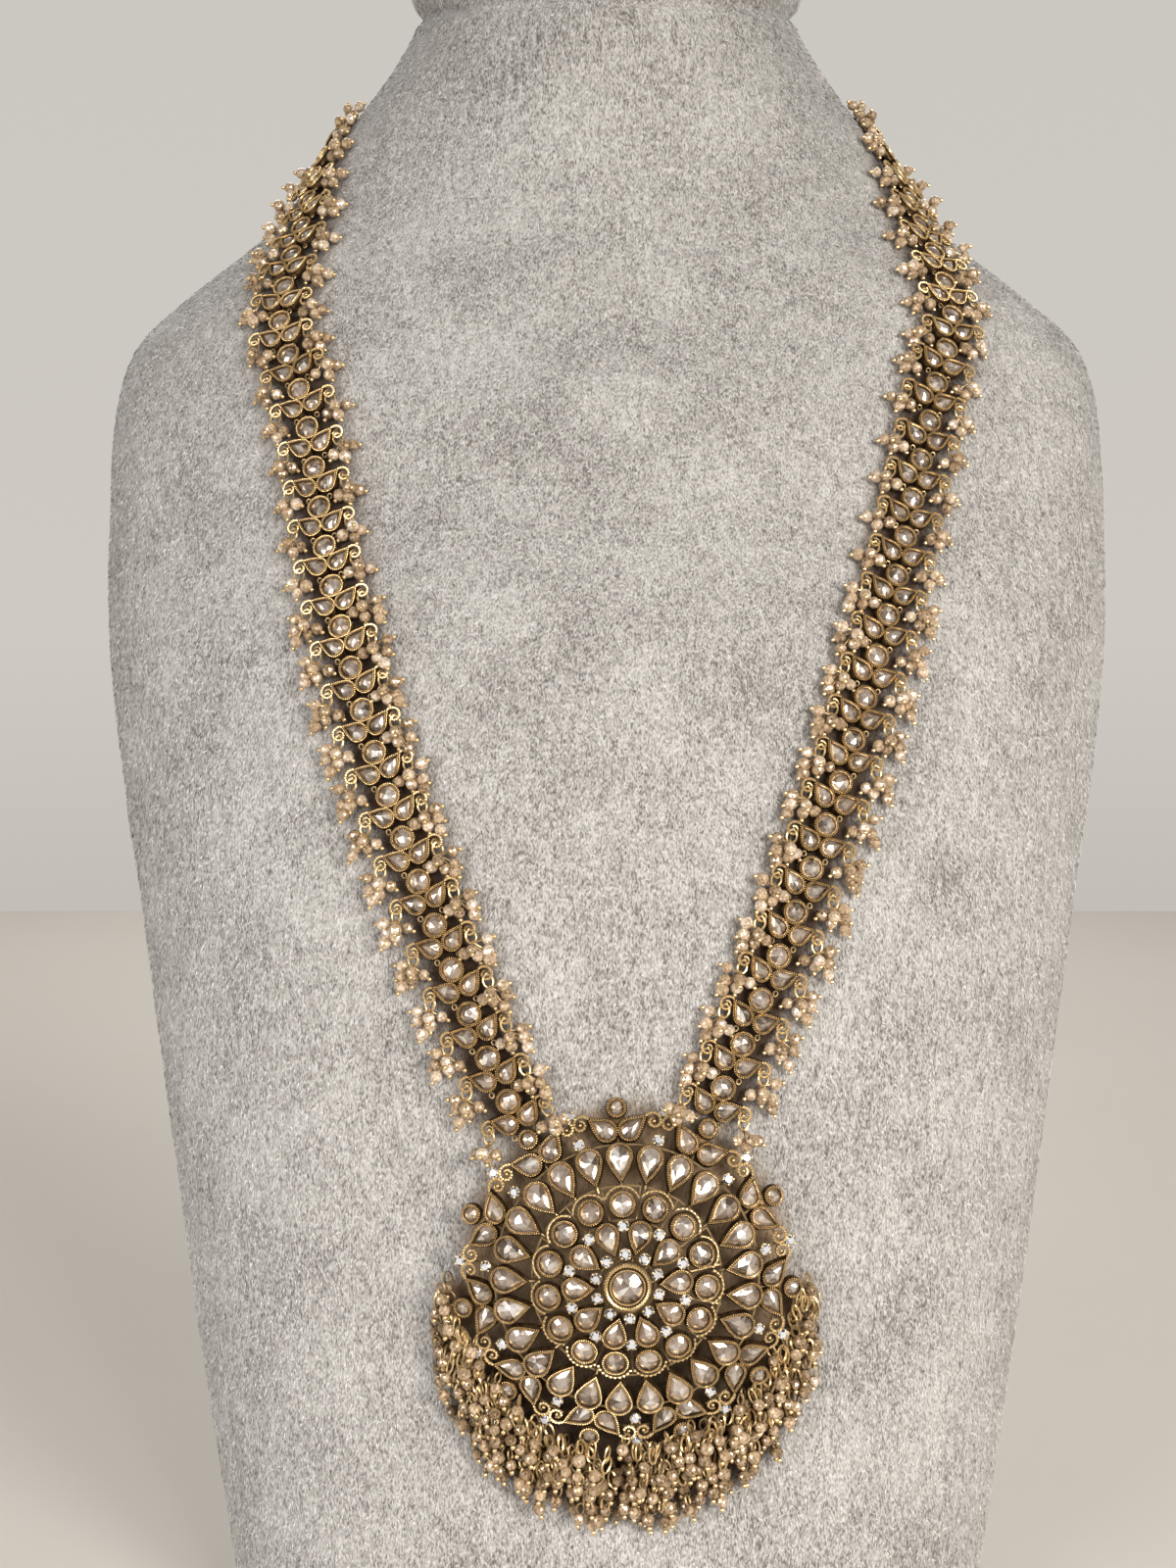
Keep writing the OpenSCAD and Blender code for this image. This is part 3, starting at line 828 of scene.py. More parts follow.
def add_setting(shape, r, tip, h, place, wall, count=24):
    add_swept(shape, r, tip, WALL_SECTION, place, count, wall, h)
    mill = [place @ p for p in outline(r, tip, MILL_POINTS, MILL_BEAD / 2, MILL_Z * h)]
    # The milled beads are painted darker towards their feet: patina and painted shade
    add_beads(shape, [mill], MILL_BEAD, MILL_PITCH, by_height(h, h * MILL_PATINA_AND_SHADE_DEPTH), closed=True)


print("the wall's section has", len(WALL_SECTION), "corners, and its milled beads are", MILL_BEAD, "mm")


# %% Scrolls: the pear's milled wire runs over the tip and curls round a ball
SCROLL_TURN = 420.0
SCROLL_END_R, SCROLL_WIND = 0.8, 1.05
SCROLL_TOP, SCROLL_SINK = 0.72, 0.18
SCROLL_STEPS, SCROLL_BEADED_STEPS = 22, 17
SCROLL_WIRE, SCROLL_BEAD, SCROLL_PITCH = 0.38, 0.82, 0.64
BALL_R, BALL_Z = 0.45, 0.62


def scroll_path(tip_end, centre, hand, h):
    start = tip_end - centre
    first = math.degrees(math.atan2(start.y, start.x))
    reach = start.length - SCROLL_END_R - SCROLL_WIND
    path = []
    for k in range(SCROLL_STEPS + 1):
        s = k / SCROLL_STEPS
        r = SCROLL_END_R + SCROLL_WIND * (1 - s) + reach * (1 - s) ** 5
        p = centre + polar(r, first - SCROLL_TURN * s)
        path.append(Vector((hand * p.x, p.y, h * (SCROLL_TOP - SCROLL_SINK * s))))
    return path


def add_ball(shape, place, r, segments=8, rings=6):
    """A small ball, closed at its poles."""
    points = [Vector((0, 0, -r))]
    for j in range(1, rings):
        lat = math.pi * (j / rings - 0.5)
        ring_r, z = r * math.cos(lat), r * math.sin(lat)
        points.extend(polar(ring_r, 360 * k / segments, z) for k in range(segments))
    points.append(Vector((0, 0, r)))
    shape.add(points, capped(rings - 1, segments), 0.0, Matrix.Translation(place))


# %% A round on a V of two pears, as in each link and at the medallion's edge
PEAR_X, PEAR_Y, PEAR_TURN = 2.7, -5.35, 37.0
PEAR_R = 2.75
SOLDER_W, SOLDER_L, SOLDER_T, SOLDER_EASE = 3.4, 3.6, 0.9, 0.15
# The plate under the settings is painted dark: patina and painted shade
SOLDER_PATINA_AND_SHADE = 0.9


def pear_places():
    return [shifted(hand * PEAR_X, PEAR_Y) @ turned(hand * (PEAR_TURN - 90)) for hand in (1, -1)]


def add_solder(shape, place):
    """A thin plate with its upper edges eased, under the settings."""
    points = []
    for inset, z in ((0.0, 0.0), (0.0, SOLDER_T - SOLDER_EASE), (SOLDER_EASE, SOLDER_T)):
        x, y = SOLDER_W / 2 - inset, SOLDER_L / 2 - inset
        points.extend([(-x, -y, z), (x, -y, z), (x, y, z), (-x, y, z)])
    faces = [(3, 2, 1, 0), (8, 9, 10, 11)] + band(0, 4, 4) + band(4, 8, 4)
    shape.add(points, faces, SOLDER_PATINA_AND_SHADE, place)


def v_metal(round_r, tip, h, scroll, wall):
    shape = Shape()
    add_setting(shape, round_r, round_r, h, Matrix(), wall, 20)
    for place in pear_places():
        add_setting(shape, PEAR_R, tip, h, place, wall)
    tip_end = Vector((PEAR_X, PEAR_Y, 0)) + polar(tip, PEAR_TURN)
    paths = [scroll_path(tip_end, Vector((*scroll, 0)), hand, h) for hand in (1, -1)]
    add_wire(shape, paths, SCROLL_WIRE, by_height(h * 1.1, h * 0.7), 5)
    rise = Vector((0, 0, SCROLL_WIRE * 0.6))
    outer_turns = [[p + rise for p in path[:SCROLL_BEADED_STEPS]] for path in paths]
    add_beads(shape, outer_turns, SCROLL_BEAD, SCROLL_PITCH, by_height(h * 0.95, h * 0.5))
    for hand in (1, -1):
        add_ball(shape, Vector((hand * scroll[0], scroll[1], h * BALL_Z)), BALL_R)
    add_solder(shape, shifted(0, PEAR_Y + PEAR_R))
    return shape


print("pears of the V at", [[round(c, 2) for c in place.translation] for place in pear_places()])

# %% [markdown]
# ## The straps
#
# A link is one soldered piece: a round setting over a V of two pears, whose tips curl to scrolls.
# Two tiny rings join it to the next link. The link is made once and put on 28 points for each
# strap.

# %% Strap metal
LINK_H = 2.4
LINK_ROUND_R = 3.3
LINK_TIP = 5.2
LINK_SCROLL = (7.8, -4.25)
JOINING_X, JOINING_Y, JOINING_Z = 3.04, -9.03, 0.4
JOINING_R, JOINING_STRETCH, JOINING_WIRE = 0.62, 1.2, 0.2
SINGLE_LINKS = 18


def ring_path(rx, ry, count):
    angles = [2 * math.pi * k / count for k in range(count)]
    return [Vector((rx * math.cos(a), ry * math.sin(a), 0)) for a in angles]


link_shape = v_metal(LINK_ROUND_R, LINK_TIP, LINK_H, LINK_SCROLL, STRAP_WALL)
joining_rings = []
for hand in (1, -1):
    middle = Vector((hand * JOINING_X, JOINING_Y, LINK_H * JOINING_Z))
    joining_rings.append([p + middle for p in ring_path(JOINING_R, JOINING_R * JOINING_STRETCH, 10)])
add_wire(link_shape, joining_rings, JOINING_WIRE, by_height(LINK_H, LINK_H), 5, closed=True)
print("a link has", len(link_shape.points), "points")

for side, word in SIDES.items():
    places = Places()
    for link_matrix in LINK_FRAMES[side]:
        places.add(0, link_matrix)
    strap = copied(f"strap_metal_{word}", places, [link_shape], gold)
    settle(strap, [f"link_{word}_{i:02d}" for i in range(1, SINGLE_LINKS + 1)]
           + [f"strap_top_{word}", f"joining_rings_{word}"])

# %% [markdown]
# ## Stones
#
# The stones are rose cuts: a flat back, a low crown, and a few large facets that the eye sees as
# one bright flash and some dark ones. No two are cut quite alike, so each is made on its own with
# a seeded random shift of its crown. Each facet keeps a tone, which the finish paints from a dark
# reflection up to a white flash.

# %% One stone
STONE_GAP = 0.03
STONE_FLOOR, STONE_GIRDLE, STONE_BREAK, STONE_PROUD = 0.6, 0.66, 0.72, 0.1
STONE_MIDDLE = 0.42
CROWN_SHARE, CROWN_SHAKE, APEX_SHAKE = 0.5, 0.09, 0.2
WALL_TONE = 0.2
SECTOR_SPREAD, FACET_SPREAD = 0.25, 0.1
FACET_LIFTS = (-0.12, 0.0, -0.12, 0.14)


def add_stone(shape, r, tip, h, place, dice, wall, corners=6, light=0.5):
    """A rose cut with an outline of two points for each corner of its crown."""
    count = 2 * corners
    top, girdle = h + STONE_PROUD, h * STONE_GIRDLE
    scale = (r - wall - STONE_GAP) / r
    r, tip = r * scale, tip * scale
    middle = Vector((0, STONE_MIDDLE * (tip - r), 0))
    edge = outline(r, tip, count, 0, girdle)
    crown = []
    for p in edge[::2]:
        share = CROWN_SHARE + dice.uniform(-CROWN_SHAKE, CROWN_SHAKE)
        xy = middle.xy + (p.xy - middle.xy) * share
        crown.append(Vector((*xy, girdle + (top - girdle) * STONE_BREAK)))
    shift = [dice.uniform(-APEX_SHAKE, APEX_SHAKE) * r for _ in range(2)]
    points = outline(r, tip, count, 0, STONE_FLOOR) + edge + crown + [middle + Vector((*shift, top))]
    apex = len(points) - 1
    faces = [tuple(reversed(range(count)))] + band(0, count, count)
    tones = [WALL_TONE] * len(faces)
    for k in range(corners):
        a, b, c = count + 2 * k, count + 2 * k + 1, count + (2 * k + 2) % count
        p, q = 2 * count + k, 2 * count + (k + 1) % corners
        faces.extend([(a, b, p), (b, q, p), (b, c, q), (p, q, apex)])
        # The middle of the facet tones sets how many facets are painted as flashes
        sector = dice.gauss(light, SECTOR_SPREAD)
        tones.extend(limited(dice.gauss(sector + lift, FACET_SPREAD)) for lift in FACET_LIFTS)
    shape.add(points, faces, 0.0, place, tones)


def stone_piece(name, shape, node, finish=stone):
    mesh = shape.mesh(name, MM)
    mesh.shade_flat()
    piece = linked(name, mesh, finish)
    settle(piece, [node])
    print(name, triangles(piece), "triangles")


# %% Stones of the straps
STRAP_LIGHT = 0.46


def add_strap_stone(shape, r, tip, place, dice):
    add_stone(shape, r, tip, LINK_H, place, dice, STRAP_WALL, light=STRAP_LIGHT)


for side, word in SIDES.items():
    dice = random.Random(11 + side)
    shape = Shape()
    for link_matrix in LINK_FRAMES[side]:
        spin = turned(dice.uniform(0, 360))
        add_strap_stone(shape, LINK_ROUND_R, LINK_ROUND_R, link_matrix @ spin, dice)
        for place in pear_places():
            add_strap_stone(shape, PEAR_R, LINK_TIP, link_matrix @ place, dice)
    stone_piece(f"strap_stones_{word}", shape, f"link_stones_{word}")

# %% [markdown]
# ## Drops
#
# From each scroll hangs an open oval jump ring, and from it a tight bunch of faceted glass beads
# on head pins that end in a gold ball. They hang down, but lean out from the strap, and the last
# one of a bunch lies on the others. The beads follow the bust, so each one's place is stepped over
# its surface.

# %% Templates of the drops
BEAD_R = 1.5
PIN_BALL_R, PIN_WIRE = 0.6, 0.22
JUMP_RING, PIN_EYE = (1.35, 1.75, 0.3), (0.55, 0.6, 0.16)
RING, PIN, BALL, EYE = range(4)


def bead_shape():
    """A bead with flat facets, each with a tone of its own."""
    made = bmesh.new()
    bmesh.ops.create_icosphere(made, subdivisions=2, radius=BEAD_R)
    points = [v.co.copy() for v in made.verts]
    facets = [tuple(v.index for v in f.verts) for f in made.faces]
    made.free()
    dice = random.Random(3)
    shape = Shape()
    shape.add(points, facets, tones=[dice.random() for _ in facets])
    return shape


def oval_ring_shape(rx, ry, wire, count=14, sides=5):
    """An oval wire ring in the XY plane."""
    shape = Shape()
    add_wire(shape, [ring_path(rx, ry, count)], wire, lambda p: 0.15, sides, closed=True)
    return shape


def pin_shape():
    """A pin of unit length along -Y."""
    shape = Shape()
    add_wire(shape, [[Vector((0, 0, 0)), Vector((0, -1, 0))]], PIN_WIRE, lambda p: 0.25, 5)
    return shape


def ball_shape():
    shape = Shape()
    add_ball(shape, Vector((0, 0, 0)), PIN_BALL_R, 7, 5)
    return shape


drop_shapes = [oval_ring_shape(*JUMP_RING), pin_shape(), ball_shape(), oval_ring_shape(*PIN_EYE, 8, 4)]
bead = bead_shape()
print("a bead has", len(bead.faces), "facets")

# %% Where a cluster hangs
JUMP_R, JUMP_DROP, JUMP_OUT = 1.65, 1.9, 0.35
NECK_LINK = 14
# Turn outwards from straight down, distance from the ring's lower end, and rise over the others
CLUSTER = [(-58, 3.6, 0.0), (-6, 3.6, 0.0), (44, 4.0, 0.2), (92, 3.2, 0.6), (-10, 1.7, 2.2), (24, 6.2, 0.6)]
NECK_CLUSTER = [(-60, 3.0, 0.0), (0, 3.3, 0.0), (60, 3.1, 0.0), (25, 1.7, 2.2)]
CLUSTER_LEAN, NECK_CLUSTER_LEAN = (-0.05, 0.6), (0.05, 0.5)
FIRST_CLUSTER_RISE = 4.3
PIN_SPARE, EYE_DROP, BALL_SEAT = 0.3, 0.2, 0.8
LOW_RISE = 0.1
RING_SWING, BUNCH_SHAKE, SPIN_TURN = 25, 9, 6
REACH_SHAKE, LEVEL_SHAKE, BEAD_GROWTH = (-0.3, 0.4), (-0.15, 0.45), (1.0, 1.2)


def column(matrix, k):
    return matrix.col[k].xyz


def hang(link_matrix, hand, leans):
    """The way that a drop hangs from a link: down, but never over the strap."""
    lean = limited(-hand * column(link_matrix, 0).z, *leans)
    return lean * hand * column(link_matrix, 0) - math.sqrt(1 - lean * lean) * column(link_matrix, 1)


def spun(axis, angle):
    return Quaternion(Vector(axis).normalized(), angle).to_matrix().to_4x4()


def add_cluster(side, i, hand, gold_places, glass_places, dice):
    link_matrix = LINK_FRAMES[side][i - 1]
    out = column(link_matrix, 2)
    short = i == 1 or i >= NECK_LINK
    down = hang(link_matrix, hand, NECK_CLUSTER_LEAN if short else CLUSTER_LEAN)
    across = out.cross(down)
    flat_scroll = link_matrix @ Vector((hand * LINK_SCROLL[0], LINK_SCROLL[1], 0))
    ring_centre = flat_scroll + JUMP_DROP * down + (JUMP_OUT + LINK_H / 2) * out
    ring_bottom = ring_centre + JUMP_R * down
    swing = turned(dice.uniform(-RING_SWING, RING_SWING), "Y")
    gold_places.add(RING, facing(ring_centre, -down, out) @ swing)
    from_link = flat_scroll - column(link_matrix, 3) + (JUMP_DROP + JUMP_R) * down
    level = LIFT + LINK_H / 2 + (FIRST_CLUSTER_RISE if i == 1 else 0)
    start = route(side, route_u(side, i * LINK_PITCH))
    for turn, length, rise in (NECK_CLUSTER if short else CLUSTER):
        a = math.radians(hand * turn + dice.uniform(-BUNCH_SHAKE, BUNCH_SHAKE))
        step = (length + dice.uniform(*REACH_SHAKE)) * (math.cos(a) * down + math.sin(a) * across)
        height = level + rise + dice.uniform(*LEVEL_SHAKE)
        bead_at = off_bust(*stepped(*start, from_link + step), height)
        growth = dice.uniform(*BEAD_GROWTH)
        way = (bead_at - ring_bottom).normalized()
        spin = spun((dice.uniform(-1, 1), dice.uniform(-1, 1), 1), dice.uniform(0, SPIN_TURN))
        glass_places.add(0, Matrix.Translation(bead_at) @ spin, growth, dice.random())
        pin_top = ring_bottom - PIN_SPARE * way
        pin_length = (bead_at - pin_top).length + BEAD_R + PIN_SPARE
        gold_places.add(PIN, facing(pin_top, -way, out), (1.0, pin_length, 1.0))
        if rise < LOW_RISE:
            gold_places.add(EYE, facing(pin_top + EYE_DROP * way, -way, out) @ turned(90, "Y"))
        gold_places.add(BALL, Matrix.Translation(bead_at + way * (BEAD_R + PIN_BALL_R * BALL_SEAT)))


print("beads in a bunch:", len(CLUSTER), "low on the strap and", len(NECK_CLUSTER), "near the neck")

# %% Drops of the straps
for side, word in SIDES.items():
    dice = random.Random(29 + side)
    gold_places, glass_places = Places(), Places()
    for i in range(1, LINKS + 1):
        for hand in (-1, 1):
            add_cluster(side, i, hand, gold_places, glass_places, dice)
    pins = copied(f"drop_pins_{word}", gold_places, drop_shapes, gold)
    settle(pins, [])
    beads = copied(f"drop_beads_{word}", glass_places, [bead], glass, sharp=1.0)
    settle(beads, [f"bead_drops_{word}"])

# %% [markdown]
# ## The medallion
#
# The medallion is built flat with its dome towards +Z, then stood up and leaned back against the
# bust. Each ring of settings has its distance, its number and the turn of its first one. A place
# on the dome gives a matrix, and the templates are put there. The settings follow the dome's slope
# only up to a limit: towards the rim they were soldered to face forwards.

# %% Places on the dome
DOME_RISE, DOME_RIM_R = 14.0, 43.0
MEDALLION_X, MEDALLION_Z, MEDALLION_LEAN, MEDALLION_SEAT = 4.2, 114.0, 3.2, 1.0
SETTING_H = 2.4
FIRST_TURN = 93.5
EDGE_UNITS = 11
# Distance from the middle, number, and turn of the first one
INNER_PEAR_RING, ROUND_RING = (11.8, 10, 112.0), (19.3, 15, FIRST_TURN)
OUTER_PEAR_RING, EDGE_RING = (28.8, 25, FIRST_TURN), (41.5, EDGE_UNITS, FIRST_TURN)
CRYSTAL_RINGS = [(7.7, INNER_PEAR_RING), (14.3, INNER_PEAR_RING), (34.7, EDGE_RING), (41.4, EDGE_RING)]
STEEPEST = 18.0
# Radius of the round end, and distance of the tip from its middle
INNER_PEAR, OUTER_PEAR = (3.1, 5.5), (3.45, 6.7)
ROUND_R = 3.35
EDGE_ROUND_R, EDGE_TIP, EDGE_SCROLL = 2.4, 5.4, (8.6, -3.6)
EDGE_GROWTH = 1.08
medallion_matrix = (Matrix.Translation(before_bust(MEDALLION_X, MEDALLION_Z, MEDALLION_SEAT))
                    @ turned(90 - MEDALLION_LEAN, "X"))


def dome_z(r):
    return DOME_RISE * (1 - (r / DOME_RIM_R) ** 2)


def on_dome(r, turn):
    slope = min(math.degrees(math.atan(2 * DOME_RISE * r / DOME_RIM_R**2)), STEEPEST)
    return medallion_matrix @ turned(turn) @ shifted(r, 0, dome_z(r)) @ turned(slope, "Y") @ turned(-90)


def on_ring(ring, shift=0.0, r=None):
    return [on_dome(r or ring[0], ring[2] + (k + shift) * 360 / ring[1]) for k in range(ring[1])]


def inward(pear):
    return shifted(0, (pear[1] - pear[0]) / 2) @ turned(180)


CRYSTAL_PLACES = [place for r, ring in CRYSTAL_RINGS for place in on_ring(ring, 0.5, r)]
print("crystals:", len(CRYSTAL_PLACES), "and the last round of the edge at",
      [round(c, 1) for c in on_ring(EDGE_RING)[-1].translation])

# %% Templates of the medallion's metal
SCALLOP_R, SCALLOP_HALF_TURN, SCALLOP_Z, SCALLOP_STEPS = 4.4, 66.0, 1.2, 16
SCALLOP_WIRE, SCALLOP_BEAD, SCALLOP_PITCH = 0.28, 0.8, 1.04
STEM_WIRE = 0.3


def single_setting(r, tip, place=None):
    shape = Shape()
    add_setting(shape, r, tip, SETTING_H, place or Matrix(), FINE_WALL)
    return shape


def round_with_scallop():
    """A round of the second ring, with the beaded wire that arches over its outer side."""
    shape = single_setting(ROUND_R, ROUND_R)
    shares = [k / SCALLOP_STEPS for k in range(SCALLOP_STEPS + 1)]
    arc = [polar(SCALLOP_R, 90 + SCALLOP_HALF_TURN * (2 * s - 1), SCALLOP_Z) for s in shares]
    add_wire(shape, [arc], SCALLOP_WIRE, by_height(1.5, 0.5))
    rope = [p + Vector((0, 0, SCALLOP_WIRE * 1.1)) for p in arc]
    add_beads(shape, [rope], SCALLOP_BEAD, SCALLOP_PITCH, by_height(1.9, 1.1))
    return shape


def pear_on_stem():
    """A long pear that points inwards, with the stem that carries its tip."""
    place = inward(OUTER_PEAR)
    shape = single_setting(*OUTER_PEAR, place)
    tip = OUTER_PEAR[1]
    stem = [place @ Vector((0, tip - 0.4, 1.0)), place @ Vector((0, tip + 1.3, 0.5))]
    add_wire(shape, [stem], STEM_WIRE, by_height(1.8, 1.4), 5)
    return shape


# %% The centre's bezel: a rope-milled rim, a smooth one, and fine beads against the stone
CENTRE_R, CENTRE_STONE_R, CENTRE_H = 5.9, 4.0, SETTING_H + 0.4
CENTRE_SECTION = [
    (0.1, 0.0, 1.0), (0.0, 0.5, 0.6), (0.3, 0.85, 0.3), (0.75, 0.96, 0.7), (1.0, 0.9, 1.0),
    (1.35, 0.9, 1.0), (1.5, 1.04, 0.0), (1.75, 1.04, 0.0), (1.9, 0.5, 1.0)]
ROPE_RIDGES, ROPE_WIRE = 46, 0.27
# Distance from the middle, lean in degrees and share of the height at three points of a ridge
RIDGE = [(5.05, -5.157, 0.98), (5.4, 0.0, 1.04), (5.8, 5.157, 0.84)]
INNER_RIM_R, INNER_RIM_BEAD = 4.28, 0.42


def centre_setting():
    shape = Shape()
    add_swept(shape, CENTRE_R, CENTRE_R, CENTRE_SECTION, None, 48, high=CENTRE_H)
    turns = [360 * k / ROPE_RIDGES for k in range(ROPE_RIDGES)]
    ropes = [[polar(r, turn + lean, CENTRE_H * share) for r, lean, share in RIDGE] for turn in turns]
    add_wire(shape, ropes, ROPE_WIRE, by_height(CENTRE_H * 1.08, CENTRE_H * 0.3), 5)
    rim = outline(INNER_RIM_R, INNER_RIM_R, 60, 0, CENTRE_H * 1.06)
    dark = by_height(CENTRE_H * 1.1, CENTRE_H * 0.4)
    add_beads(shape, [rim], INNER_RIM_BEAD, INNER_RIM_BEAD, dark, closed=True)
    return shape


# %% Claw cups of the crystals: a tapered basket with four claws bent over the crystal
CUP_R, CUP_H = 1.45, 1.9
CUP_SECTION = [(0.55, 0.0, 1.0), (0.1, 0.7, 0.7), (0.0, 1.0, 0.2), (0.25, 1.02, 0.3), (0.5, 0.7, 1.0)]
CLAW_AT, CLAW_R, CLAW_RISE = 1.3, 0.36, 0.45


def crystal_cup():
    shape = Shape()
    add_swept(shape, CUP_R, CUP_R, CUP_SECTION, None, 12, high=CUP_H)
    for turn in (45, 135, 225, 315):
        add_ball(shape, polar(CLAW_AT, turn, CUP_H + CLAW_RISE), CLAW_R, 6, 4)
    return shape


# %% Gallery: flat rings and ties that carry the settings from behind
GALLERY_R = [7.0, 15.6, 23.7, 33.2, 38.5]
GALLERY_W, GALLERY_T, GALLERY_SINK = 0.45, 0.6, 0.9
# The gallery's gold is painted dark, as shade behind the settings
GALLERY_PAINTED_SHADE, SPOKE_WIRE = 0.72, 0.3
# Start, end, number, and turn of the first one
SPOKES = [(5, 16, 10, 112.0), (15, 24, 15, FIRST_TURN + 12),
          (32.8, 42.6, EDGE_UNITS, FIRST_TURN + 180 / EDGE_UNITS), (32.8, 39, EDGE_UNITS, FIRST_TURN)]


def gallery_shape():
    shape = Shape()
    w, t = GALLERY_W / 2, GALLERY_T / 2
    bar = [(inset, z, GALLERY_PAINTED_SHADE) for inset, z in ((-w, -t), (-w, t), (w, t), (w, -t))]
    for r in GALLERY_R:
        add_swept(shape, r, r, bar, shifted(0, 0, dome_z(r) - GALLERY_SINK), 72)
    paths = []
    for start, end, number, first in SPOKES:
        for k in range(number):
            turn = first + k * 360 / number
            paths.append([polar(r, turn, dome_z(r) - GALLERY_SINK) for r in (start, end)])
    add_wire(shape, paths, SPOKE_WIRE, lambda p: GALLERY_PAINTED_SHADE, 5)
    return shape


print("gallery:", len(GALLERY_R), "rings and", sum(spokes[2] for spokes in SPOKES), "ties")

# %% Medallion metal, from templates on points
medallion_shapes = [
    centre_setting(),
    single_setting(*INNER_PEAR, inward(INNER_PEAR)),
    round_with_scallop(),
    pear_on_stem(),
    v_metal(EDGE_ROUND_R, EDGE_TIP, SETTING_H, EDGE_SCROLL, FINE_WALL),
    crystal_cup(),
    gallery_shape(),
]
grown = (EDGE_GROWTH, EDGE_GROWTH, 1.0)
places = Places()
places.add(0, on_dome(0, 0))
for which, ring, size in ((1, INNER_PEAR_RING, 1.0), (2, ROUND_RING, 1.0), (3, OUTER_PEAR_RING, 1.0),
                          (4, EDGE_RING, grown)):
    for place in on_ring(ring):
        places.add(which, place, size)
for place in CRYSTAL_PLACES:
    places.add(5, place)
places.add(6, medallion_matrix)
medallion = copied("medallion_metal", places, medallion_shapes, gold)
settle(medallion, ["medallion_frame"])

# %% Stones of the medallion, one piece for each ring
dice = random.Random(5)
centre_r = CENTRE_STONE_R + FINE_WALL + STONE_GAP
edge_places = [place @ Matrix.Diagonal((*grown, 1.0)) for place in on_ring(EDGE_RING)]


def ring_stones(name, node, r, tip, places, light=0.5, h=SETTING_H, corners=6):
    shape = Shape()
    for place in places:
        add_stone(shape, r, tip, h, place, dice, FINE_WALL, corners, light)
    stone_piece(name, shape, node)


def pointing_in(ring, pear):
    return [place @ inward(pear) for place in on_ring(ring)]


def turned_at_random(places):
    """Each turn is drawn only when its stone is made."""
    return (place @ turned(dice.uniform(0, 360)) for place in places)


ring_stones("inner_pears", "inner_pear_stones", *INNER_PEAR, pointing_in(INNER_PEAR_RING, INNER_PEAR), 0.45)
ring_stones("rounds", "round_stones", ROUND_R, ROUND_R, turned_at_random(on_ring(ROUND_RING)))
ring_stones("outer_pears", "outer_pear_stones", *OUTER_PEAR, pointing_in(OUTER_PEAR_RING, OUTER_PEAR), 0.52)
ring_stones("edge_pears", "edge_pear_stones", PEAR_R, EDGE_TIP,
            [place @ pear for place in edge_places for pear in pear_places()])
ring_stones("edge_rounds", "edge_round_stones", EDGE_ROUND_R, EDGE_ROUND_R, turned_at_random(edge_places))
ring_stones("centre", "centre_stone", centre_r, centre_r, [on_dome(0, 0)], 0.42, SETTING_H + 0.5, 9)

# %% Crystals: small brilliants, each with a flat table in a crown of facets
CRYSTAL_R, CULET_SHARE, TABLE_SHARE = 1.38, 0.5, 0.6
CRYSTAL_LOW, CRYSTAL_MID, CRYSTAL_TOP = CUP_H - 0.5, CUP_H + 0.3, CUP_H + 0.85
CRYSTAL_SIDES = 8


def add_crystal(shape, place, dice):
    count = 2 * CRYSTAL_SIDES
    foot, edge, table = (outline(CRYSTAL_R * share, CRYSTAL_R * share, count, 0, z) for share, z in (
        (CULET_SHARE, CRYSTAL_LOW), (1.0, CRYSTAL_MID), (TABLE_SHARE, CRYSTAL_TOP)))
    faces = [tuple(reversed(range(count))), tuple(range(2 * count, 2 * count + CRYSTAL_SIDES))]
    faces += band(0, count, count)
    # Facet tones, which the finish paints as black and white reflections
    tones = [0.5, 0.72] + [dice.random() for _ in range(count)]
    for k in range(CRYSTAL_SIDES):
        a, b, c = count + 2 * k, count + 2 * k + 1, count + (2 * k + 2) % count
        p, q = 2 * count + k, 2 * count + (k + 1) % CRYSTAL_SIDES
        faces.extend([(a, b, p), (b, q, p), (b, c, q)])
        tones.extend(dice.choice((0.0, 0.25, 0.75, 1.0)) for _ in range(3))
    shape.add(foot + edge + table[::2], faces, 0.0, place, tones)


shape = Shape()
for place in CRYSTAL_PLACES:
    add_crystal(shape, place @ turned(dice.uniform(0, 45)), dice)
stone_piece("crystals_cut", shape, "crystals", crystal)

# %% [markdown]
# ## The fringe
#
# Under the medallion hangs a mass of drops in layers. They hang from long wire loops at the rim,
# and each ends in a gold ball like those of the straps. The frame holds only the outer form of
# this mass, so the drops fill that form: rows of places over the bust in three levels, each with
# a seeded shift, thinner towards the outer edge. The deeper a drop lies in the mass, the darker
# its bead, ball and loop are painted, as shade, and the lower levels leave gaps.

# %% Form of the fringe
FRINGE_R, FRINGE_DROP = 52.0, 14.5
FRINGE_INNER_R = 45.1
FRINGE_THICK, FRINGE_EDGE_THICK = 8.5, 4.0
FRINGE_START, FRINGE_END = -175.0, -4.0
TAPER_TURN, TAPER_START = 32.0, 0.45


def fringe_outer(turn):
    a = math.radians(turn)
    return -FRINGE_DROP * math.sin(a) + math.sqrt(FRINGE_R**2 - (FRINGE_DROP * math.cos(a)) ** 2)


def tapered(turn):
    """Share of the fringe's width that is filled, which grows from both of its ends."""
    from_end = min(turn - FRINGE_START, FRINGE_END - turn)
    return min(TAPER_START + from_end / TAPER_TURN, 1.0)


def fringe_point(turn, r, distance):
    a = math.radians(turn)
    return before_bust(MEDALLION_X + r * math.cos(a), MEDALLION_Z + r * math.sin(a), distance)


def fringe_top(share):
    return LIFT + FRINGE_THICK + (FRINGE_EDGE_THICK - FRINGE_THICK) * share * share


print("the fringe reaches", round(fringe_outer(-90), 1), "mm below the medallion's middle")

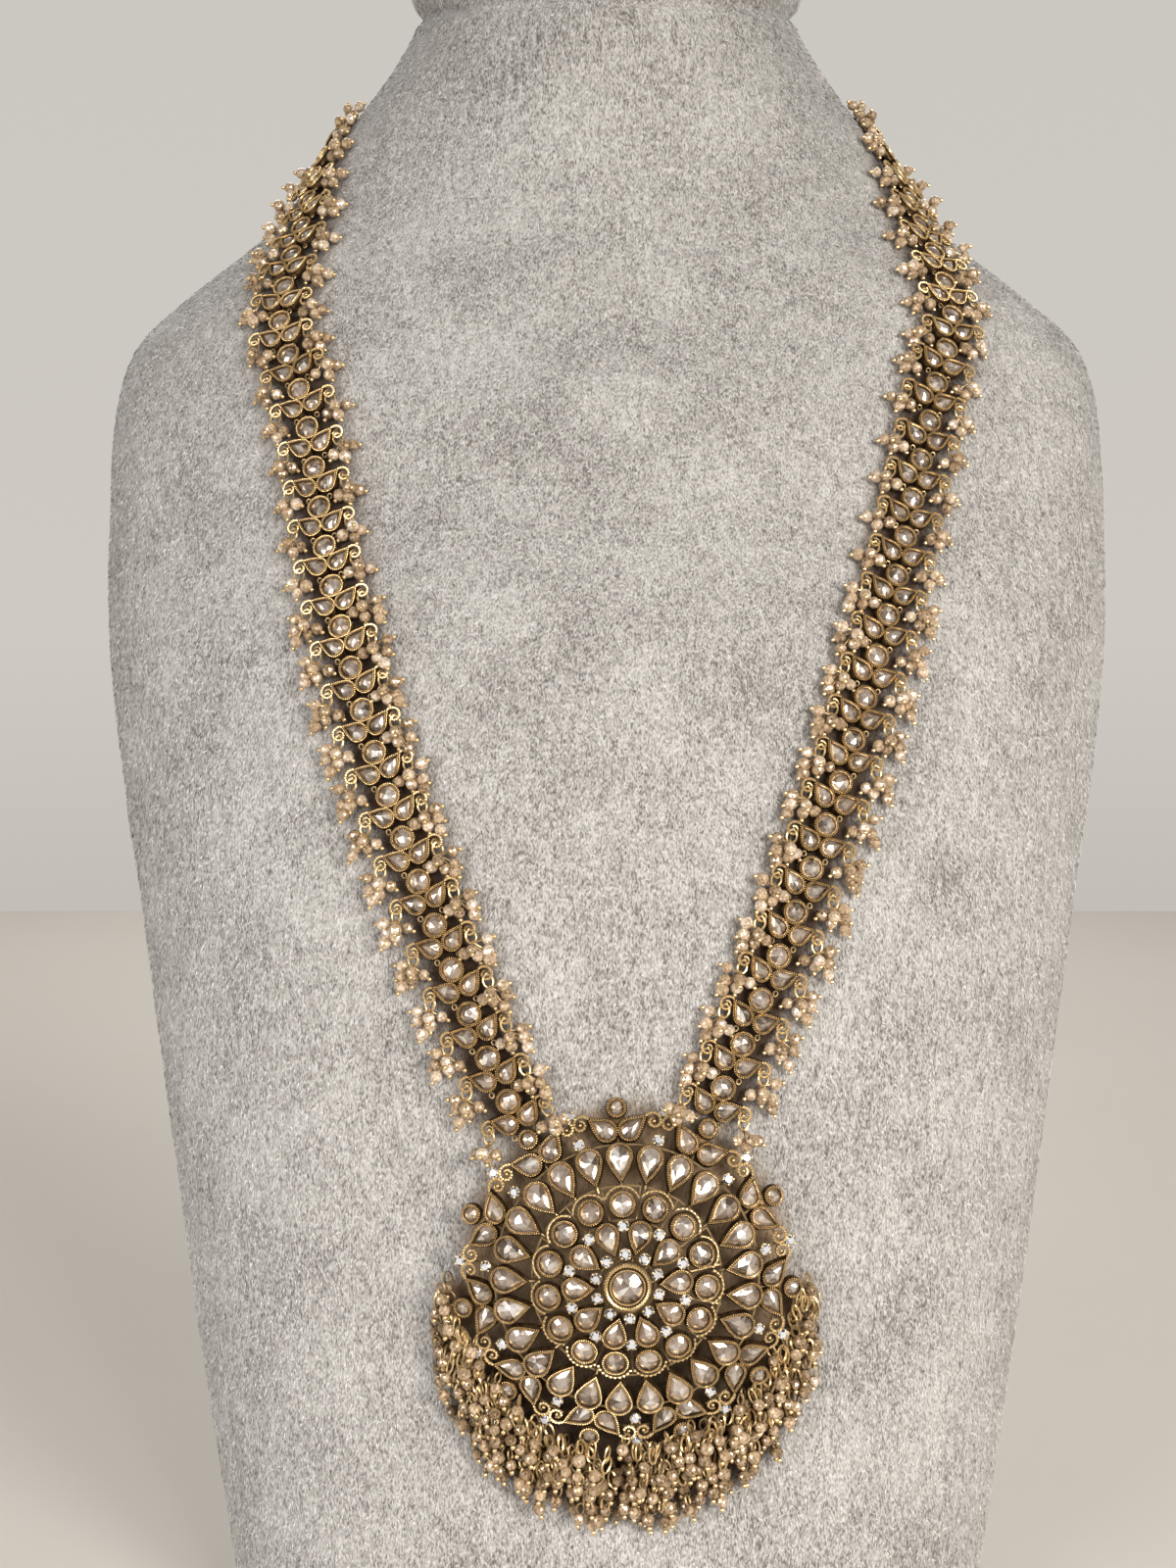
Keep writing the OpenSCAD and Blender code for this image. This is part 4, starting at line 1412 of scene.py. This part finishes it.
# %% Places of the fringe's drops
BEAD_STEP, ROW_STEP, FRINGE_ROWS = 3.95, 0.86, 7
LEVELS = [2.2, 5.0, 7.6]
LEFT_OUT, INNER_GAPS, INNER_GAPS_FADE = [0.22, 0.12, 0.03], 0.45, 3.5
TURN_SHAKE, R_SHAKE, HIGH_SHAKE = 1.2, 0.9, 0.7
LOOP_TWIST, SWAY, BALL_LIFT, FRINGE_GROWTH = 80, 0.5, (-0.9, 0.1), (0.95, 1.2)
# Painted shade of the drops: how much of its tone a drop loses deep in the mass and how much darker it is
# painted there, and how much darker every drop is
TONE_LOSS, DEEP_LOSS, ALL_LOSS = 0.9, 0.5, 0.34
FRINGE_BALL, BALL_GAP, LOOP_GAP = 1.12, 0.45, 1.2
SPIN_AXIS = (0.3, 0.5, 1)
FORWARDS = Vector((0, -1, 0))
LONG_LOOP, LOOP = range(2)
LONG_LOOP_SIZE, LOOP_SIZE = (1.1, 2.2, 0.3), (1.0, 1.5, 0.28)
fringe_loops = [oval_ring_shape(*LONG_LOOP_SIZE, 12, 4), oval_ring_shape(*LOOP_SIZE, 10, 4), ball_shape()]
dice = random.Random(71)
gold_places, glass_places = Places(), Places()


def add_drop(place, depth, tone, spin, twist, growth, sway, lift):
    """One drop of the fringe: its bead, the gold ball below and the loop above."""
    # Painted shade: the deeper the bead lies in the mass, the darker it is
    shade = tone * (1 - TONE_LOSS * depth) - DEEP_LOSS * depth - ALL_LOSS
    glass_places.add(0, Matrix.Translation(place) @ spun(SPIN_AXIS, spin), growth, shade)
    ball_at = place + Vector((sway, lift, -1)).normalized() * (growth * BEAD_R + BALL_GAP)
    # The ball and the loop are painted darker, as shade, and more so deep in the mass
    gold_places.add(BALL, Matrix.Translation(ball_at), FRINGE_BALL, 0.1 + depth * 0.7)
    way = Vector((sway, 0, -1)).normalized()
    loop = facing(place - way * (growth * BEAD_R + LOOP_GAP), -way, FORWARDS) @ turned(twist, "Y")
    gold_places.add(LOOP, loop, shade=0.65 + depth * 0.4)


for k, level in enumerate(LEVELS):
    for row in range(FRINGE_ROWS):
        r = FRINGE_INNER_R - 1.0 + 0.5 * BEAD_STEP * (k % 2) + row * BEAD_STEP * ROW_STEP
        count = int(math.radians(FRINGE_END - FRINGE_START) * r / BEAD_STEP)
        for j in range(count):
            turn = FRINGE_START + (FRINGE_END - FRINGE_START) * (j + 0.5 * (row % 2)) / count
            turn += dice.uniform(-TURN_SHAKE, TURN_SHAKE)
            width = fringe_outer(turn) - FRINGE_INNER_R
            share = (r - FRINGE_INNER_R) / width
            at_r = r + dice.uniform(-R_SHAKE, R_SHAKE)
            high = level + dice.uniform(-HIGH_SHAKE, HIGH_SHAKE)
            tone, spin = dice.random(), dice.uniform(0, SPIN_TURN)
            twist, growth = dice.uniform(-LOOP_TWIST, LOOP_TWIST), dice.uniform(*FRINGE_GROWTH)
            sway, lift = dice.uniform(-SWAY, SWAY), dice.uniform(*BALL_LIFT)
            filled = FRINGE_INNER_R + (width - BEAD_R) * tapered(turn)
            top = fringe_top(limited(share))
            if at_r > filled or high + BEAD_R > top + 0.6:
                continue
            if dice.random() < LEFT_OUT[k] + INNER_GAPS * max(1 - INNER_GAPS_FADE * share, 0):
                continue
            # How deep the drop lies in the mass, which sets its painted shade
            depth = limited(1 - high / (top - 2.0))
            add_drop(fringe_point(turn, at_r, high), depth, tone, spin, twist, growth, sway, lift)
print("drops in the fringe:", len(glass_places.rows))

# %% Long loops of the fringe
LONG_LOOPS = 200
LONG_LOOP_REACH, LONG_LOOP_SWAY, LONG_LOOP_TWIST = 0.7, 0.4, 70
LONG_LOOP_HEIGHTS, LONG_LOOP_SINK = (4.5, 8.0), 0.3
for j in range(LONG_LOOPS):
    turn = dice.uniform(FRINGE_START + 3, FRINGE_END - 3)
    reach = dice.random() ** 2
    at_r = FRINGE_INNER_R - 1.0 + reach * LONG_LOOP_REACH * (fringe_outer(turn) - FRINGE_INNER_R)
    high = dice.uniform(*LONG_LOOP_HEIGHTS) * (1 - LONG_LOOP_SINK * reach)
    way = Vector((dice.uniform(-LONG_LOOP_SWAY, LONG_LOOP_SWAY), 0, -1)).normalized()
    twist = turned(dice.uniform(-LONG_LOOP_TWIST, LONG_LOOP_TWIST), "Y")
    loop = facing(fringe_point(turn, at_r, high), -way, FORWARDS) @ twist
    # The long loops are painted a little darker, as shade in the mass
    gold_places.add(LONG_LOOP, loop, shade=0.2)
fringe_gold = copied("fringe_loops", gold_places, fringe_loops, gold)
settle(fringe_gold, [])
fringe_glass = copied("fringe_beads", glass_places, [bead], glass, sharp=1.0)
settle(fringe_glass, ["medallion_fringe"])

# %% [markdown]
# ## The chain and the clasp
#
# Behind the neck a fine chain carries on from the last links. It is a row of oval links along the
# route, each turned a quarter against the one before, which is one Geometry Nodes tree. The hidden
# clasp is a small barrel with milled ends.

# %% A tree for the chain
CHAIN_D, CHAIN_GAP, CHAIN_PITCH = 3.0, 0.3, 2.7
CHAIN_LINK, CHAIN_SAMPLES = (1.15, 1.85, 0.32), 60
CHAIN_OVERLAP, CLASP_SPACE = 0.8, 0.5
CLASP_L, CLASP_D = 14.0, 5.0
LINK_END = LINKS * LINK_PITCH + LINK_ROUND_R


def chain_tree():
    graph, given = new_tree("Chain along a path", Pitch=FLOAT, Link=OBJECT)
    tangent = graph.add("GeometryNodeInputTangent")["Tangent"]
    ahead = graph.add("FunctionNodeAlignRotationToVector", {"Vector": tangent}, axis="Y")["Rotation"]
    index = graph.add("GeometryNodeInputIndex")["Index"]
    angle = index.maths("MODULO", index, 2.0) * (math.pi / 2) + math.pi / 4
    quarter = graph.add("FunctionNodeAxisAngleToRotation", {"Axis": (0, 1, 0), "Angle": angle})["Rotation"]
    sockets = {"Rotation": ahead, "Rotate By": quarter}
    turn = graph.add("FunctionNodeRotateRotation", sockets, rotation_space="LOCAL")["Rotation"]
    link = graph.add("GeometryNodeObjectInfo", {"Object": given["Link"]})["Geometry"]
    copies = graph.add("GeometryNodeInstanceOnPoints", {
        "Points": path_points(graph, given), "Instance": link, "Rotation": turn, "Scale": (MM, MM, MM)})
    return closed_tree(graph, given, copies["Instances"])


CHAIN = chain_tree()
chain_link = linked("chain_link", oval_ring_shape(*CHAIN_LINK, 14, 6).mesh("chain_link"))
for side, word in SIDES.items():
    ends = LINK_END - CHAIN_OVERLAP, LENGTHS[side][0][-1] - CLASP_L / 2 - CLASP_SPACE
    steps = np.linspace(*ends, CHAIN_SAMPLES)
    path = [route_point(side, route_u(side, s), CHAIN_D / 2 + CHAIN_GAP) * MM for s in steps]
    values = {"Pitch": CHAIN_PITCH * MM, "Link": chain_link, "Finish": gold}
    name = f"chain_{word}"
    chain = linked(name, made_mesh(path_object([path], False), CHAIN, values, name))
    settle(chain, [f"back_chain_{word}"])
    print(name, round((ends[1] - ends[0]) / CHAIN_PITCH), "links,", triangles(chain), "triangles")
discard(chain_link)

# %% The clasp
CLASP_END = [(0.0, 7.0), (0.9, 6.9), (1.3, 6.3), (1.3, 5.7), (1.9, 5.4), (2.3, 4.9), (2.3, 4.2), (2.0, 3.9),
             (2.4, 3.5)]
CLASP_SEAM = [(-0.4, 2.5), (-0.2, 2.3), (0.0, 2.5)]
CLASP_GROOVES = (2.0, 1.3)
CLASP_PROFILE = [(-x, r) for r, x in CLASP_END] + CLASP_SEAM + [(x, r) for r, x in reversed(CLASP_END)]


def clasp_shape():
    count = 20
    angles = [2 * math.pi * k / count for k in range(count)]
    points, hollow = [], []
    for x, r in CLASP_PROFILE:
        ring = [(x, r * math.cos(a), r * math.sin(a)) for a in angles]
        points.extend(ring if r else ring[:1])
        # The clasp's grooves are painted dark: patina and painted shade
        hollow.extend([0.8 if r in CLASP_GROOVES else 0.1] * count if r else [0.0])
    shape = Shape()
    shape.add(points, capped(len(CLASP_PROFILE) - 2, count), hollow)
    return shape


places = Places()
places.add(0, Matrix.Translation(off_bust(*TO_THE_BACK[-1], CLASP_D / 2 + CHAIN_GAP)))
clasp = copied("clasp_barrel", places, [clasp_shape()], gold)
settle(clasp, ["clasp"])

# %% [markdown]
# ## The bust and its plush
#
# The bust is the formula of its surface on a fine grid, with the small unevenness of stretched
# plush. Its collar is closed by a sunk disc and its base is flat. On it stands the pile: short
# pointed blades brushed down, made by a Geometry Nodes tree that spreads seeded points over the
# faces and lays each blade along the nap. There are so many that each one is a single triangle.

# %% Where the necklace covers the cloth and shade is painted on it
# How the painted shade under the necklace fades out, and the height below which it is darkest, behind the
# fringe
UNDER_FADE, FRINGE_FADE = 5.0, 4.0
STRAP_COVER, STRAP_FADE = 12.5, 5.5
DEEP_BELOW, DEEP_FADE = 113.0, 33.0
LINK_PLACES = np.array([column(m, 3) for side in SIDES for m in LINK_FRAMES[side]])


def strap_cover(p):
    """How far a point lies between the links of a strap, from 0 to 1."""
    away = float(np.linalg.norm(LINK_PLACES - np.array(p), axis=1).min())
    return limited((STRAP_COVER - away) / STRAP_FADE)


def medallion_cover(p):
    """How far a point of the front lies under the medallion or its fringe, from 0 to 1."""
    x, z = p.x - MEDALLION_X, p.z - MEDALLION_Z
    turn = math.degrees(math.atan2(z, x))
    if turn > 0 and z < 0:
        turn -= 360
    hanging = FRINGE_START < turn < FRINGE_END
    limit = fringe_outer(turn) - 1.5 if hanging else DOME_RIM_R + 1.0
    fade = FRINGE_FADE if hanging else UNDER_FADE
    return limited((limit - math.hypot(x, z)) / fade) if p.y < 0 else 0.0


print("places of links that cover cloth:", len(LINK_PLACES))

# %% Cloth of the bust
RING_POINTS = 220
BODY_STEP = 4.0
RIM_Z, RIM_STEP = 452.0, 1.5
CLOTH_SINK, FOOT_FADE = 0.2, 4.0
LUMP, LUMP_SIZE = 0.35, 16.0
CREASE, CREASE_Z, CREASE_WIDTH = 1.6, 460.5, 1.4
SUNK_DISC = [(1.5, -0.2), (3.0, 1.0), (3.6, 3.0)]
CLOTH_TONE = 0.3


def bust_points():
    """Rings of points from the base to the collar, and then down into its disc."""
    turns = [k * 360 / RING_POINTS for k in range(RING_POINTS)]
    top = BUST_ROWS[-1][HEIGHT]
    points = []
    for z in [*np.arange(0, RIM_Z, BODY_STEP), *np.arange(RIM_Z, top, RIM_STEP), top]:
        row = section(z)
        crease = CREASE * math.exp(-((z - CREASE_Z) / CREASE_WIDTH) ** 2)
        for turn in turns:
            p = on_section(row, z, turn)
            away = LUMP * noise.noise(p / LUMP_SIZE) - crease - CLOTH_SINK
            out = Vector((p.x, p.y - row[MID_Y], 0)).normalized()
            points.append(p + out * away * min(z / FOOT_FADE, 1.0))
    for inset, drop in SUNK_DISC:
        row = BUST_ROWS[-1].copy()
        row[[HALF_W, FRONT, BACK]] -= inset
        points.extend(on_section(row, top, turn) - Vector((0, 0, drop)) for turn in turns)
    return points


def bust_mesh():
    points = bust_points()
    last = len(points) - RING_POINTS
    faces = [tuple(reversed(range(RING_POINTS))), tuple(range(last, last + RING_POINTS))]
    for start in range(0, last, RING_POINTS):
        faces.extend(band(start, start + RING_POINTS, RING_POINTS))
    mesh = new_mesh("bust_plush", [p * MM for p in points], faces)
    mesh.shade_smooth()
    # Painted shade on the cloth: where the necklace covers it, and darkest behind the fringe and between the
    # links
    under, deep = [], []
    for p in points:
        from_strap = strap_cover(p)
        under.append(max(medallion_cover(p), from_strap))
        deep.append(max(limited((DEEP_BELOW - p.z) / DEEP_FADE), min(2 * from_strap, 1.0)))
    add_attribute(mesh, "tone", [CLOTH_TONE] * len(points))
    add_attribute(mesh, "under", under)
    add_attribute(mesh, "deep", deep)
    return mesh


bust = linked("bust_plush", bust_mesh(), plush)
settle(bust, ["neck_bust"])
print("bust_plush", triangles(bust), "triangles")


# %% A tree for the pile
PILE_COUNT = 185000
BLADE_L, BLADE_W = 1.5, 0.42
PILE_FOOT = 4.0
SHAKE_LOW, SHAKE_HIGH, BRUSHED = (-0.75, -0.75, -0.75), (0.75, 0.75, 0.35), (0.0, 0.0, -0.55)
STAND, ROLL = 0.3, 0.7
SHORTEST, LONGEST = 0.7, 1.15


def blade(graph):
    """One triangle that stands up from its foot."""
    flat = graph.add("GeometryNodeMeshCircle", {"Vertices": 3, "Radius": 1.0}, fill_type="NGON")["Mesh"]
    return graph.add("GeometryNodeTransform", {
        "Geometry": flat, "Translation": (0.0, 0.0, 1 / 3), "Rotation": (0.0, -math.pi / 2, math.pi),
        "Scale": (2 / 3, 1 / math.sqrt(3), 1.0)})["Geometry"]


def pile_tree():
    graph, given = new_tree("Pile on faces", Density=FLOAT, Length=FLOAT, Width=FLOAT, Seed=INTEGER)
    spread = graph.add("GeometryNodeDistributePointsOnFaces", {
        "Mesh": given["Geometry"], "Density": given["Density"], "Seed": given["Seed"]})
    normal = spread["Normal"]

    def vector(operation, sockets, name="Vector"):
        return graph.add("ShaderNodeVectorMath", sockets, operation=operation)[name]

    def chance(low, high, seed):
        """A random number, between sockets 2 and 3 of its node."""
        return graph.add("FunctionNodeRandomValue", {2: low, 3: high, "Seed": seed}, data_type="FLOAT")[1]

    def aligned(rotation, towards, **settings):
        sockets = {"Rotation": rotation, "Vector": towards}
        return graph.add("FunctionNodeAlignRotationToVector", sockets, **settings)["Rotation"]

    sockets = {0: SHAKE_LOW, 1: SHAKE_HIGH, "Seed": 3}
    shake = graph.add("FunctionNodeRandomValue", sockets, data_type="FLOAT_VECTOR")["Value"]
    brushed = vector("ADD", {0: shake, 1: BRUSHED})
    into = vector("DOT_PRODUCT", {0: brushed, 1: normal}, "Value")
    along = vector("SUBTRACT", {0: brushed, 1: vector("SCALE", {0: normal, "Scale": into})})
    stand = vector("SCALE", {0: normal, "Scale": STAND})
    way = vector("ADD", {0: vector("NORMALIZE", {0: along}), 1: stand})
    laid = aligned(spread["Rotation"], way, axis="Z")
    face_out = aligned(laid, normal, axis="X", pivot_axis="Z")
    sockets = {"Axis": (0, 0, 1), "Angle": chance(-ROLL, ROLL, 7)}
    roll = graph.add("FunctionNodeAxisAngleToRotation", sockets)["Rotation"]
    sockets = {"Rotation": face_out, "Rotate By": roll}
    turn = graph.add("FunctionNodeRotateRotation", sockets, rotation_space="LOCAL")["Rotation"]
    tall = given["Length"] * chance(SHORTEST, LONGEST, 11)
    size = graph.add("ShaderNodeCombineXYZ", {"X": given["Width"], "Y": given["Width"], "Z": tall})["Vector"]
    sockets = {"Geometry": spread["Points"], "Name": "tone", "Value": chance(0.0, 1.0, 17)}
    toned = graph.add("GeometryNodeStoreNamedAttribute", sockets, data_type="FLOAT", domain="POINT")
    copies = graph.add("GeometryNodeInstanceOnPoints", {
        "Points": toned["Geometry"], "Instance": blade(graph), "Rotation": turn, "Scale": size})
    return closed_tree(graph, given, copies["Instances"])


PILE = pile_tree()
print("nodes in the pile's tree:", len(PILE.nodes))


# %% The pile
def pile_ground():
    """The faces that carry pile, all but the base and the sunk disc, and their area."""
    ground = bust.data.copy()
    cut = bmesh.new()
    cut.from_mesh(ground)
    bare = [f for f in cut.faces if len(f.verts) > 4 or min(v.co.z for v in f.verts) < PILE_FOOT * MM]
    bmesh.ops.delete(cut, geom=bare, context="FACES")
    area = sum(f.calc_area() for f in cut.faces)
    cut.to_mesh(ground)
    cut.free()
    return linked("pile_ground", ground), area


ground, ground_area = pile_ground()
values = {"Density": PILE_COUNT / ground_area, "Length": BLADE_L * MM, "Width": BLADE_W * MM, "Seed": 2,
          "Finish": pile_finish}
pile = linked("bust_pile", made_mesh(ground, PILE, values, "bust_pile"))
settle(pile, [])
print("bust_pile", triangles(pile), "triangles on", round(ground_area, 3), "square metres")

# %% [markdown]
# ## Floor, light and camera
#
# A pale floor, a broad key from the right, a weak fill from the left, a wide light over the floor
# behind, and three small lights whose reflections make the facets flash. The key and the fill are
# narrow beams aimed at the foot of the bust, so its top is a little darker, as in the photograph.
# The camera stands where the photograph's stood: about 0.6 m in front of the bust, at mid height,
# looking down by 4 degrees.

# %% Floor
FLOOR_HALF = 1.5


def floor_finish():
    finish, graph = new_finish("pale_floor")
    colour = mixed(graph, grain(graph, 3.0), (0.70, 0.66, 0.60), (0.75, 0.71, 0.66))
    finished(graph, {"Base Color": colour, "Roughness": 0.8, "Specular IOR Level": 0.2})
    return finish


corners = [(x * FLOOR_HALF, y * FLOOR_HALF, 0) for x, y in ((-1, -1), (1, -1), (1, 1), (-1, 1))]
floor = linked("floor", new_mesh("floor", corners, [(0, 1, 2, 3)]), floor_finish())
print("floor of", 2 * FLOOR_HALF, "m")


# %% Lights
def area_light(name, place, aim, size, power, colour, spread=180.0):
    light = bpy.data.lights.new(name, "AREA")
    light.size = size
    light.spread = math.radians(spread)
    light.energy = power
    light.color = colour
    lamp = bpy.data.objects.new(name, light)
    lamp.location = place
    lamp.rotation_euler = (Vector(aim) - Vector(place)).to_track_quat("-Z", "Y").to_euler()
    bpy.context.scene.collection.objects.link(lamp)


MIDDLE = (0.0, 0.0, 0.25)
area_light("key", (1.25, -1.62, 0.62), (0.2, 0.0, 0.02), 0.95, 2.85, (1.0, 0.97, 0.935), 40.0)
area_light("fill", (-0.8, -0.85, 0.27), (0.0, 0.0, 0.0), 0.5, 0.95, (0.98, 0.98, 1.0), 70.0)
area_light("back", (0.0, 1.2, 1.3), (0.0, 0.7, 0.0), 1.4, 12.0, (1.0, 0.98, 0.95))
area_light("flash_high", (0.18, -0.9, 0.75), MIDDLE, 0.06, 1.2, (1.0, 1.0, 1.0))
area_light("flash_right", (0.55, -0.8, 0.3), MIDDLE, 0.06, 1.0, (1.0, 0.98, 0.95))
area_light("flash_left", (-0.4, -0.85, 0.55), MIDDLE, 0.06, 0.8, (1.0, 1.0, 1.0))

world = bpy.data.worlds.new("studio")
bpy.context.scene.world = world
world.use_nodes = True
world.node_tree.nodes.clear()
graph = Graph(world.node_tree)
direction = graph.add("ShaderNodeTexCoord")["Generated"]
height = graph.add("ShaderNodeSeparateXYZ", {"Vector": direction})["Z"]
sky = ramp(graph, height * 0.5 + 0.5, [
    (0.0, (0.2, 0.17, 0.14)), (0.4, (0.80, 0.75, 0.68)), (0.5, (1.0, 0.95, 0.88)),
    (0.66, (0.96, 0.92, 0.86)), (0.74, (0.30, 0.28, 0.26)), (1.0, (0.3, 0.29, 0.28))])
background = graph.add("ShaderNodeBackground", {"Color": sky, "Strength": 0.62})["Background"]
graph.add("ShaderNodeOutputWorld", {"Surface": background})
bpy.context.scene.view_settings.view_transform = "Standard"
print("lights:", [light.name for light in bpy.data.lights])

# %% Camera
CAMERA_PLACE = (-0.0055, -0.6245, 0.275)
CAMERA_PITCH = 4.0
IMAGE_H = 1600
FOCAL_PIXELS = 2200
camera_data = bpy.data.cameras.new("camera")
camera_data.sensor_width = 36.0
camera_data.lens = FOCAL_PIXELS / IMAGE_H * camera_data.sensor_width
camera_data.clip_start = 0.01
camera = bpy.data.objects.new("camera", camera_data)
camera.location = CAMERA_PLACE
camera.rotation_euler = (math.radians(90 - CAMERA_PITCH), 0, 0)
bpy.context.scene.collection.objects.link(camera)
bpy.context.scene.camera = camera
print("lens", round(camera_data.lens, 1), "mm")
